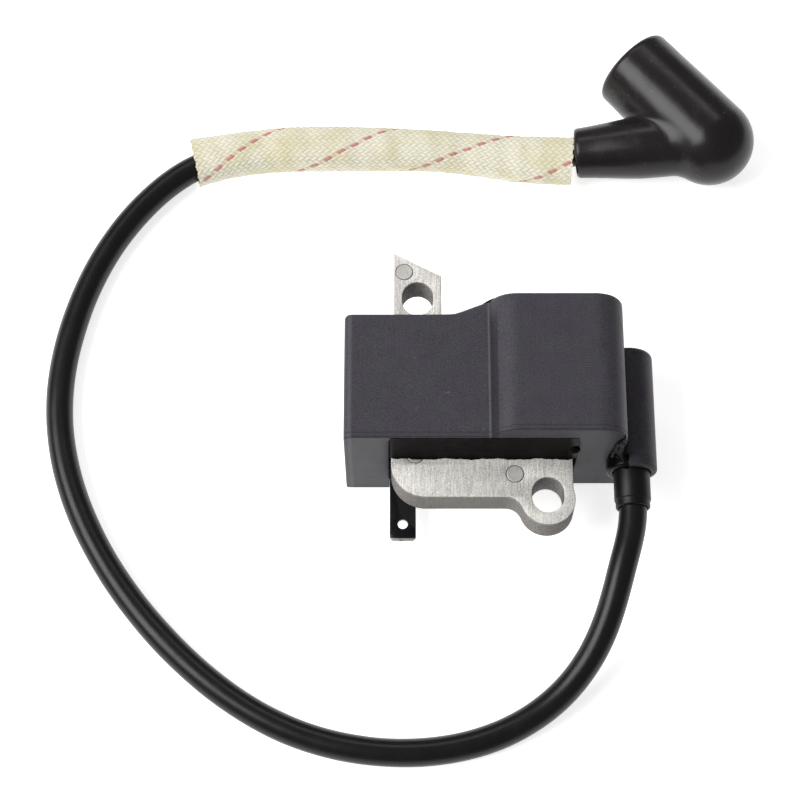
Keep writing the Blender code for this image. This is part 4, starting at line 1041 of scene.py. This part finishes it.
def blade_rings():
    """The tab's section is a rectangle with coined edges, thinner and narrower towards its tip."""
    y = np.concatenate([
        BLADE_TIP + np.linspace(0, 1.3, 14) * MM, np.linspace(BLADE_TIP + 1.5 * MM, BLADE_BACK, 20)])
    x = BLADE_HALF - 0.55 * MM * (1 - np.clip((y - BLADE_TIP) / (0.6 * MM), 0, 1)) ** 2
    z = BLADE_THICKNESS / 2 * (0.38 + 0.62 * np.clip((y - BLADE_TIP) / (1.0 * MM), 0, 1))
    e = np.minimum(0.16 * MM, z * 0.8)
    corner = np.array([(x, z - e), (x - 0.3 * e, z - 0.3 * e), (x - e, z)])
    half = np.concatenate([corner, corner[::-1] * [[-1], [1]]])
    rows = np.roll(np.concatenate([half, -half]), 1, axis=0).transpose(2, 0, 1)
    along = np.broadcast_to(y[:, None], rows.shape[:2])
    return np.stack([BLADE_X + rows[..., 0], along, BLADE_Z + rows[..., 1]], -1)


class COIL_OT_blade(bpy.types.Operator):
    """Builds the kill-switch tab with its coined tip and its hole"""

    bl_idname = "coil.blade"
    bl_label = "Kill-switch tab"

    def execute(self, context):
        hole_y, hole_r = BLADE_HOLE
        tab = Form().grid(blade_rings(), True, True).build(
            "kill_switch_tab", blade_metal(tuple(context.scene.coil_colours.blade)), 30,
            slot="blade_steel", stands_for=["kill_switch_blade"])
        half, wide, reach = BLADE_THICKNESS / 2, hole_r + 0.1 * MM, 1.0 * MM
        upper = [(half - 0.1 * MM, hole_r), (half, wide), (reach, wide), (reach, 1e-5)]
        profile = [(-along, radius) for along, radius in upper[::-1]] + upper
        punch = Form().grid(revolved(profile, (BLADE_X, hole_y, BLADE_Z), (0, 0, 1), 40), True, True).build(
            "tab_punch", None, 30)
        cut = tab.modifiers.new("hole", "BOOLEAN")
        cut.operation, cut.solver, cut.object = "DIFFERENCE", "EXACT", punch
        graph = bpy.context.evaluated_depsgraph_get()
        tab.data = bpy.data.meshes.new_from_object(tab.evaluated_get(graph))
        tab.modifiers.clear()
        bpy.data.objects.remove(punch)
        return {"FINISHED"}


# --- collar, lead and sleeve ----------------------------------------------------------------------

class COIL_OT_collar(bpy.types.Operator):
    """Builds the stepped rubber collar in the tower's mouth"""

    bl_idname = "coil.collar"
    bl_label = "Collar"

    def execute(self, context):
        r, bore, length = COLLAR_RADIUS, LEAD_RADIUS + 0.06 * MM, COLLAR_OUT + COLLAR_IN
        profile = np.concatenate([
            [(length, bore), (0.3 * MM, bore), (0.06 * MM, bore + 0.08 * MM), (0.0, bore + 0.22 * MM)],
            arc((0.32 * MM, r - 0.52 * MM), 0.32 * MM, 180, 90, 6),
            [(1.25 * MM, r - 0.20 * MM), (1.34 * MM, r - 0.17 * MM)],
            [(1.44 * MM, r - 0.05 * MM), (1.60 * MM, r)],
            [(length - 0.2 * MM, r), (length, r - 0.2 * MM), (length, bore)]])
        rings = revolved(profile, (TOWER_X, TOWER_FRONT - COLLAR_OUT, TOWER_Z), (0, 1, 0), 96)
        dark = tuple(part * 0.45 for part in context.scene.coil_colours.lead)
        Form().grid(rings, True).build("collar", soft_black("collar_rubber", dark, 0.42, 0.012), 35,
                                       slot="black_rubber", stands_for=["strain_relief_collar"])
        return {"FINISHED"}


def tube_direction():
    """Unit direction of the boot's tube, from its open end to the barrel."""
    return unit([1.0, TUBE_YAW, TUBE_RISE])


def mouth():
    """The tower's mouth on the table, from which the routes are measured."""
    return np.array([TOWER_X, TOWER_FRONT, 0.0])


def boot_middle():
    """Where the axes of the boot's tube and barrel meet, from the tower's mouth."""
    middle = np.array([*TUBE_END, 0.0]) + tube_direction() * TUBE_LENGTH
    return np.array([middle[0], middle[1], BOOT_RADIUS + TABLE_GAP])


def lead_points():
    """The lead's own points: out of the tower, down to the table, through the sleeve and into the boot."""
    route = np.array(LEAD_ROUTE)
    out = np.array([(0.0, LEAD_INSIDE), (0.0, LEAD_INSIDE / 2), (0.0, 0.0), (0.0, -COLLAR_OUT)])
    rest, in_sleeve = LEAD_RADIUS + TABLE_GAP, SLEEVE_HALF_HEIGHT + TABLE_GAP
    end = boot_middle() - tube_direction() * TUBE_LENGTH
    gone = COLLAR_OUT + walked(np.concatenate([out[-1:], route]))[1:]
    height = TOWER_Z + (rest - TOWER_Z) * smooth_step((gone - FALL[0]) / (FALL[1] - FALL[0]))
    late = np.arange(len(route)) > len(route) / 2
    lifted = (in_sleeve - rest) * smooth_step((route[:, 0] - SLEEVE_ROUTE[0][0]) / SLEEVE_LIFT + 1)
    reach = 2 * (end[2] - in_sleeve) / TUBE_RISE
    lifted += (end[2] - in_sleeve) * np.maximum(0.0, (route[:, 0] - end[0]) / reach + 1) ** 2
    height = height + np.where(late, lifted, 0.0)
    last = end + tube_direction() * np.array([-3.0 * MM, 0.0, LEAD_IN_BOOT / 2, LEAD_IN_BOOT])[:, None]
    return np.concatenate([
        np.column_stack([out, np.full(len(out), TOWER_Z)]), np.column_stack([route, height]), last])


class COIL_OT_lead(bpy.types.Operator):
    """Builds the high-tension lead along its route, with the slight swells of a drawn jacket"""

    bl_idname = "coil.lead"
    bl_label = "Lead"

    def execute(self, context):
        line = even_curve(lead_points(), 0.8 * MM) + mouth()
        gone = walked(line)
        turns = np.linspace(0, math.tau, 40, endpoint=False)[None]
        swell = ripple(gone, (0.012, 31, 0.3), (0.008, 13, 1.2))[:, None]
        swell = swell + 0.01 * MM * np.sin(2 * turns + gone[:, None] / (9 * MM))
        rings = sweep_rings(line, LEAD_RADIUS - 0.02 * MM + swell, 40, (0, 0, 1))
        jacket = soft_black("lead_jacket", tuple(context.scene.coil_colours.lead), 0.30, 0.012, 0.12, 0.08)
        lead = Form().grid(rings, True, True).build(
            "lead", jacket, 40, slot="black_rubber", stands_for=["hv_lead"])
        [tuple(point) for point in (line + ORIGIN)[::3]]
        return {"FINISHED"}


def sleeve_section(count):
    """A flattened tube's section as a superellipse, read at even steps round it, as unit shares of the half
    width and half height, with its outward directions."""
    turns = np.linspace(0, math.tau, 4001)
    power = 2 / SLEEVE_POWER
    width = 4.6 * MM
    ring = np.stack([
        width * np.sign(np.cos(turns)) * np.abs(np.cos(turns)) ** power,
        SLEEVE_HALF_HEIGHT * np.sign(np.sin(turns)) * np.abs(np.sin(turns)) ** power], 1)
    lengths = walked(ring)
    at = np.linspace(0, lengths[-1], count, endpoint=False)
    even = np.stack([np.interp(at, lengths, ring[:, 0]), np.interp(at, lengths, ring[:, 1])], 1)
    ahead = unit(np.roll(even, -1, 0) - np.roll(even, 1, 0))
    return even / [width, SLEEVE_HALF_HEIGHT], np.stack([ahead[:, 1], -ahead[:, 0]], 1)


def braid(gone, round_share, strands, lay):
    """Height and tracer of a two-over-two braid. A strand's number is strands times the turn plus or less
    the share of the lay. A strand shows where the sum of the two numbers, counted by fours, is under 2: its
    height is the circle across it times a half sine along the float."""
    a = strands * (round_share + gone / lay)
    b = strands * (round_share - gone / lay)
    row_a, row_b = np.floor(a), np.floor(b)
    over = np.mod(row_a + row_b, 4) < 2
    across = np.where(over, a - row_a, b - row_b)
    along = np.where(over, np.mod(row_a + b, 4), np.mod(row_b + a, 4) - 2) / 2
    along = np.clip(along, 0, 1)
    height = np.sqrt(np.clip(1 - (2 * across - 1) ** 2, 0, 1))
    height = height * (0.45 + 0.55 * np.sin(math.pi * along) ** 0.7)
    tracer = np.mod(row_b, strands / 2) == 0
    red = np.where(tracer, np.where(over, 0.25, 1.0), 0.0)
    return height, red


class COIL_OT_sleeve(bpy.types.Operator):
    """Builds the loose glass-braid sleeve over the lead's end, strand by strand, flattened and creased"""

    bl_idname = "coil.sleeve"
    bl_label = "Sleeve"

    def execute(self, context):
        colours, shapes = context.scene.coil_colours, context.scene.coil_shapes
        line = even_curve(SLEEVE_ROUTE, 0.155 * MM)
        lead = even_curve(lead_points(), 1.0 * MM)
        lead = lead[lead[:, 1] > SLEEVE_ROUTE[0][1] - 0.02]
        heights = np.interp(line[:, 0], lead[:, 0], lead[:, 2])
        ahead = unit(np.gradient(line[:, :2], axis=0))
        side = np.stack([ahead[:, 1], -ahead[:, 0]], 1)
        gone = walked(line[:, :2])[:, None]
        count = 164
        section, outward = sleeve_section(count)
        share = (np.arange(count) / count)[None]
        height, red = braid(gone, share, shapes.strands, shapes.lay)
        ends = np.minimum(gone, gone[-1] - gone) / (1.2 * MM)
        crease = 0.30 * MM * np.exp(-((share - 0.235 - 0.02 * np.sin(gone / (9 * MM))) / 0.03) ** 2)
        crease = crease * smooth_step((gone - 14 * MM) / (10 * MM))
        crease = crease * smooth_step((62 * MM - gone) / (12 * MM))
        dent = ripple(gone, (0.16, 21, 0.6), (0.10, 9.5, 2.2)) * np.cos(math.tau * (share - 0.2))
        slack = ripple(gone + 6 * MM * share, (0.05, 4.2, 0.4))
        lift = shapes.strand * (height - 1) - crease + np.minimum(dent, 0.05 * MM) * 0.8
        lift = lift + slack * 0.6 - 0.10 * MM
        wide = line[:, 2:3] * section[:, 0] + lift * outward[:, 0]
        tall = SLEEVE_HALF_HEIGHT * section[:, 1] + lift * outward[:, 1]
        flare = 1 + 0.03 * np.exp(-gone / (2.5 * MM))
        wide, tall = wide * flare, np.maximum(tall * flare, -SLEEVE_HALF_HEIGHT)

        def skin(share):
            """Points at a share of the way from the middle line to the outside."""
            x, y = line[:, :1] + side[:, :1] * wide * share, line[:, 1:2] + side[:, 1:] * wide * share
            return np.stack([x, y, heights[:, None] + tall * share], -1)

        outer = skin(1.0)
        fray = ripple(share * 100 * MM, (0.10, 7, 0.3), (0.06, 2.6, 1.0)) + 0.05 * MM
        way = np.where(gone < gone[-1] / 2, -1.0, 1.0) * np.clip(1 - ends, 0, 1) * fray
        outer[..., :2] += way[..., None] * ahead[:, None]
        inner = skin(1 - 0.55 * MM / np.hypot(wide, tall))[::-6]
        rings = np.concatenate([outer, inner]) + mouth()
        # The inside skin gets a low strand height, which the braid's finish turns into painted shade inside
        # the sleeve.
        dark = np.zeros(inner.shape[:2])
        attributes = {
            "strand_height": np.concatenate([height, dark + 0.3]), "tracer": np.concatenate([red, dark])}
        body = glass_braid(tuple(colours.braid), tuple(colours.tracer))
        form = Form().grid(rings, True, loop=True)
        form.build("sleeve", body, 60, attributes, slot="fibreglass_braid", stands_for=["fibreglass_sleeve"])
        return {"FINISHED"}


# --- boot -----------------------------------------------------------------------------------------

def barrel_direction():
    """Unit direction of the boot's barrel, from its ball to its socket."""
    return np.array([math.cos(BARREL_TURN), math.sin(BARREL_TURN), 0.0])


def soft_least(a, b, reach):
    """The lesser of two distances, blended where they are within reach of each other."""
    share = np.maximum(reach - np.abs(a - b), 0) / reach
    return np.minimum(a, b) - share * share * reach / 4


def soft_most(a, b, reach):
    """The greater of two distances, blended in the same way."""
    return -soft_least(-a, -b, reach)


def boot_distance(points, middle, blend):
    """Signed distance to the boot: a ball and a tapered barrel, joined to a tapered tube, less the socket
    and the lead's bore; joins and edges are blended."""
    away = points - middle
    barrel, tube = barrel_direction(), -tube_direction()
    along = away @ barrel
    off = np.linalg.norm(away - along[:, None] * barrel, axis=1)
    radius = BOOT_RADIUS + (BOOT_MOUTH_RADIUS - BOOT_RADIUS) * np.clip(along / BOOT_LENGTH, 0, 1)
    body = np.where(along < 0, np.linalg.norm(away, axis=1) - BOOT_RADIUS, off - radius)
    body = soft_most(body, along - BOOT_LENGTH, 1.4 * MM)
    reach = away @ tube
    beside = np.linalg.norm(away - reach[:, None] * tube, axis=1)
    taper = smooth_step((reach / TUBE_LENGTH - 0.45) / 0.6)
    waist = TUBE_RADIUS + (TUBE_END_RADIUS - TUBE_RADIUS) * taper
    arm = soft_most(soft_most(beside - waist, reach - TUBE_LENGTH, 0.9 * MM), -reach, 0.1 * MM)
    outside = soft_least(body, arm, 4 * blend)
    socket = soft_most(off - BOOT_SOCKET, -along, 0.2 * MM)
    bore = soft_most(beside - LEAD_RADIUS - 0.12 * MM, -reach, 0.1 * MM)
    return soft_most(soft_most(outside, -socket, 0.7 * MM), -bore, 0.4 * MM)


def settle(points, distance, rounds=6):
    """Points moved on to the surface of distance 0: each round takes off the distance along its slope."""
    step = 1e-5
    for _ in range(rounds):
        here = distance(points)
        slope = np.stack([distance(points + step * axis) - here for axis in np.eye(3)], 1) / step
        square = np.maximum((slope ** 2).sum(1), 0.1)
        move = -(here / square)[:, None] * slope
        reach = np.linalg.norm(move, axis=1, keepdims=True)
        points = points + move * np.minimum(1, 0.5 * MM / np.maximum(reach, 1e-9))
    return points


class COIL_OT_boot(bpy.types.Operator):
    """Builds the rubber elbow: an even net over the frame's own boot, settled on to its blended surface"""

    bl_idname = "coil.boot"
    bl_label = "Plug boot"

    def execute(self, context):
        scene = context.scene
        start = bpy.data.objects.new("boot_start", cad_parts["plug_boot"].data.copy())
        scene.collection.objects.link(start)
        bm = bmesh.new()
        bm.from_mesh(start.data)
        bmesh.ops.remove_doubles(bm, verts=bm.verts, dist=1e-6)
        bm.to_mesh(start.data)
        bm.free()
        net = start.modifiers.new("net", "REMESH")
        net.mode, net.voxel_size = "VOXEL", 0.34 * MM
        mesh = evaluated(start)
        middle = boot_middle() + mouth() + ORIGIN
        blend = scene.coil_shapes.blend
        points = settle(mesh_points(mesh), lambda p: boot_distance(p, middle, blend))
        mesh.vertices.foreach_set("co", points.ravel())
        rubber = soft_black("boot_rubber", tuple(scene.coil_colours.boot), 0.25, 0.016, 0.5, 0.12)
        finished(mesh, "boot", rubber, 60, body="boot", stands_for=["plug_boot"])
        return {"FINISHED"}


class COIL_OT_spring(bpy.types.Operator):
    """Builds the coiled plug terminal inside the boot, its ends ground flat"""

    bl_idname = "coil.spring"
    bl_label = "Terminal spring"

    def execute(self, context):
        turns = np.linspace(0, SPRING_TURNS * math.tau, 420)
        axis = barrel_direction()
        side = unit(np.cross(axis, [0, 0, 1]))
        up = np.cross(side, axis)
        height = SPRING_START + SPRING_PITCH * turns / math.tau
        line = mouth() + boot_middle() + height[:, None] * axis
        line = line + SPRING_RADIUS * (np.cos(turns)[:, None] * side + np.sin(turns)[:, None] * up)
        radius = SPRING_WIRE * np.sqrt(np.clip(np.minimum(turns, turns[-1] - turns) / 0.25, 0.05, 1))
        rings = sweep_rings(line, radius, 16, axis)
        steel = plain_coat("spring_wire", (0.60, 0.58, 0.54), 0.24, 0.95, 0.1, 0.004, 1.5, (1, 6, 6))
        Form().grid(rings, True, True).build("boot_spring", steel, 60, body="boot", slot="spring_steel",
                                             stands_for=["plug_terminal_spring"])
        return {"FINISHED"}


# --- pieces inside --------------------------------------------------------------------------------

class COIL_OT_insides(bpy.types.Operator):
    """Gives the frame's own inner pieces their finishes: bobbins, windings, board, devices and wires"""

    bl_idname = "coil.insides"
    bl_label = "Pieces inside"

    def execute(self, context):
        copper = tuple(context.scene.coil_colours.copper)
        bobbin = plain_coat("bobbin_resin", (0.62, 0.57, 0.45), 0.5, grain=0.2)
        fine = winding("fine_winding", tuple(c * 0.85 for c in copper), 0.12)
        thick = winding("thick_winding", copper, 0.3)
        device = plain_coat("device_case", (0.02, 0.02, 0.021), 0.4, grain=0.15)
        finishes = {
            "inner_bobbin": bobbin, "secondary_bobbin": bobbin,
            "charge_winding": fine, "primary_winding": thick,
            **{f"secondary_winding_{number}": fine for number in (1, 2, 3)},
            "insulating_wrap": plain_coat(
                "wrap_tape", (0.60, 0.50, 0.22), 0.35, depth=0.02, cloud=4.0, stretch=(1, 10, 1)),
            "circuit_board": board_laminate((0.03, 0.16, 0.06)),
            "storage_capacitor": plain_coat("capacitor_dip", (0.50, 0.12, 0.05), 0.3, grain=0.8, depth=0.05),
            "thyristor": device, "rectifier_diode": device,
            "trigger_resistor": plain_coat("resistor_body", (0.60, 0.47, 0.30), 0.45, grain=0.2),
            "kill_lead": plain_coat("red_wire", (0.40, 0.03, 0.03), 0.4, grain=0.2),
            "ground_lead": plain_coat("green_wire", (0.04, 0.22, 0.07), 0.4, grain=0.2),
            "high_tension_link_wire": winding("link_wire", copper, 0.4, "X"),
            "high_tension_contact_pin": plain_coat("pin_brass", (0.74, 0.53, 0.22), 0.28, 0.9, 0.12, 0.006),
        }
        for name, finish in finishes.items():
            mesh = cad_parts[name].data
            mesh.materials.clear()
            mesh.materials.append(finish)
        return {"FINISHED"}


# --- stage ----------------------------------------------------------------------------------------

def soft_box(name, place, size, power):
    """A rectangular area light at a place, aimed at the middle of the floor."""
    lamp = bpy.data.lights.new(name, "AREA")
    lamp.shape, lamp.size, lamp.size_y, lamp.energy = "RECTANGLE", *size, power
    made = bpy.data.objects.new(name, lamp)
    bpy.context.scene.collection.objects.link(made)
    made.location = place
    made.rotation_mode = "QUATERNION"
    made.rotation_quaternion = (-Vector(place)).to_track_quat("-Z", "Y")


class COIL_OT_stage(bpy.types.Operator):
    """Sets the pale sweep, the soft lights and the camera"""

    bl_idname = "coil.stage"
    bl_label = "Stage"

    def execute(self, context):
        scene, stage = context.scene, context.scene.coil_stage
        spread = np.linspace(-1, 1, 41) * FLOOR_HALF
        x, y = np.meshgrid(spread, spread, indexing="ij")
        flat = np.stack([x, y, np.zeros_like(x)], -1)
        mesh = bpy.data.meshes.new("studio_floor")
        form = Form().grid(flat)
        mesh.from_pydata(form.points[0], [], form.faces)
        mesh.materials.append(paper(tuple(scene.coil_colours.floor), tuple(scene.coil_colours.glow)))
        floor = bpy.data.objects.new("studio_floor", mesh)
        scene.collection.objects.link(floor)
        if mesh.polygons[0].normal.z < 0:
            mesh.flip_normals()

        world = bpy.data.worlds.new("studio")
        world.use_nodes = True
        back = world.node_tree.nodes["Background"]
        back.inputs["Color"].default_value = (1.0, 1.0, 1.0, 1.0)
        back.inputs["Strength"].default_value = stage.fill
        scene.world = world
        soft_box("left_box", *LEFT_BOX, stage.left_box)
        soft_box("back_box", *BACK_BOX, stage.back_box)
        scene.view_settings.view_transform = "Standard"

        away = np.array([0.0, -math.cos(stage.elevation), math.sin(stage.elevation)])
        camera = bpy.data.cameras.new("camera")
        camera.lens, camera.sensor_width = stage.lens, 36.0
        camera.clip_start, camera.clip_end = 0.01, 20.0
        made = bpy.data.objects.new("camera", camera)
        scene.collection.objects.link(made)
        made.location = CAMERA_TARGET + away * stage.distance
        made.rotation_euler = (math.pi / 2 - stage.elevation, 0.0, 0.0)
        scene.camera = made
        return {"FINISHED"}


# --- panel and main -------------------------------------------------------------------------------

GROUPS = {"coil_colours": CoilColours, "coil_shapes": CoilShapes, "coil_stage": CoilStage}
OPERATORS = (
    COIL_OT_stage, COIL_OT_collar, COIL_OT_sleeve, COIL_OT_boot, COIL_OT_spring, COIL_OT_lead, COIL_OT_case,
    COIL_OT_resin, COIL_OT_core, COIL_OT_blade, COIL_OT_insides)


class COIL_PT_panel(bpy.types.Panel):
    """Lists the coil's pieces, colours and sizes"""

    bl_idname = "COIL_PT_panel"
    bl_label = "Ignition Coil"
    bl_space_type = "VIEW_3D"
    bl_region_type = "UI"
    bl_category = "Ignition Coil"

    def draw(self, context):
        for operator in OPERATORS:
            self.layout.operator(operator.bl_idname)
        for name, group in GROUPS.items():
            box = self.layout.box()
            for key in group.__annotations__:
                box.prop(getattr(context.scene, name), key)


def register():
    for group in (*GROUPS.values(), *OPERATORS, COIL_PT_panel):
        bpy.utils.register_class(group)
    for name, group in GROUPS.items():
        setattr(bpy.types.Scene, name, bpy.props.PointerProperty(type=group))


def unregister():
    for name in GROUPS:
        delattr(bpy.types.Scene, name)
    for group in (COIL_PT_panel, *reversed(OPERATORS), *reversed(tuple(GROUPS.values()))):
        bpy.utils.unregister_class(group)


def main():
    """Builds everything in order."""
    register()
    for operator in OPERATORS:
        getattr(bpy.ops.coil, operator.bl_idname.split(".")[1])()


if __name__ == "__main__":
    main()
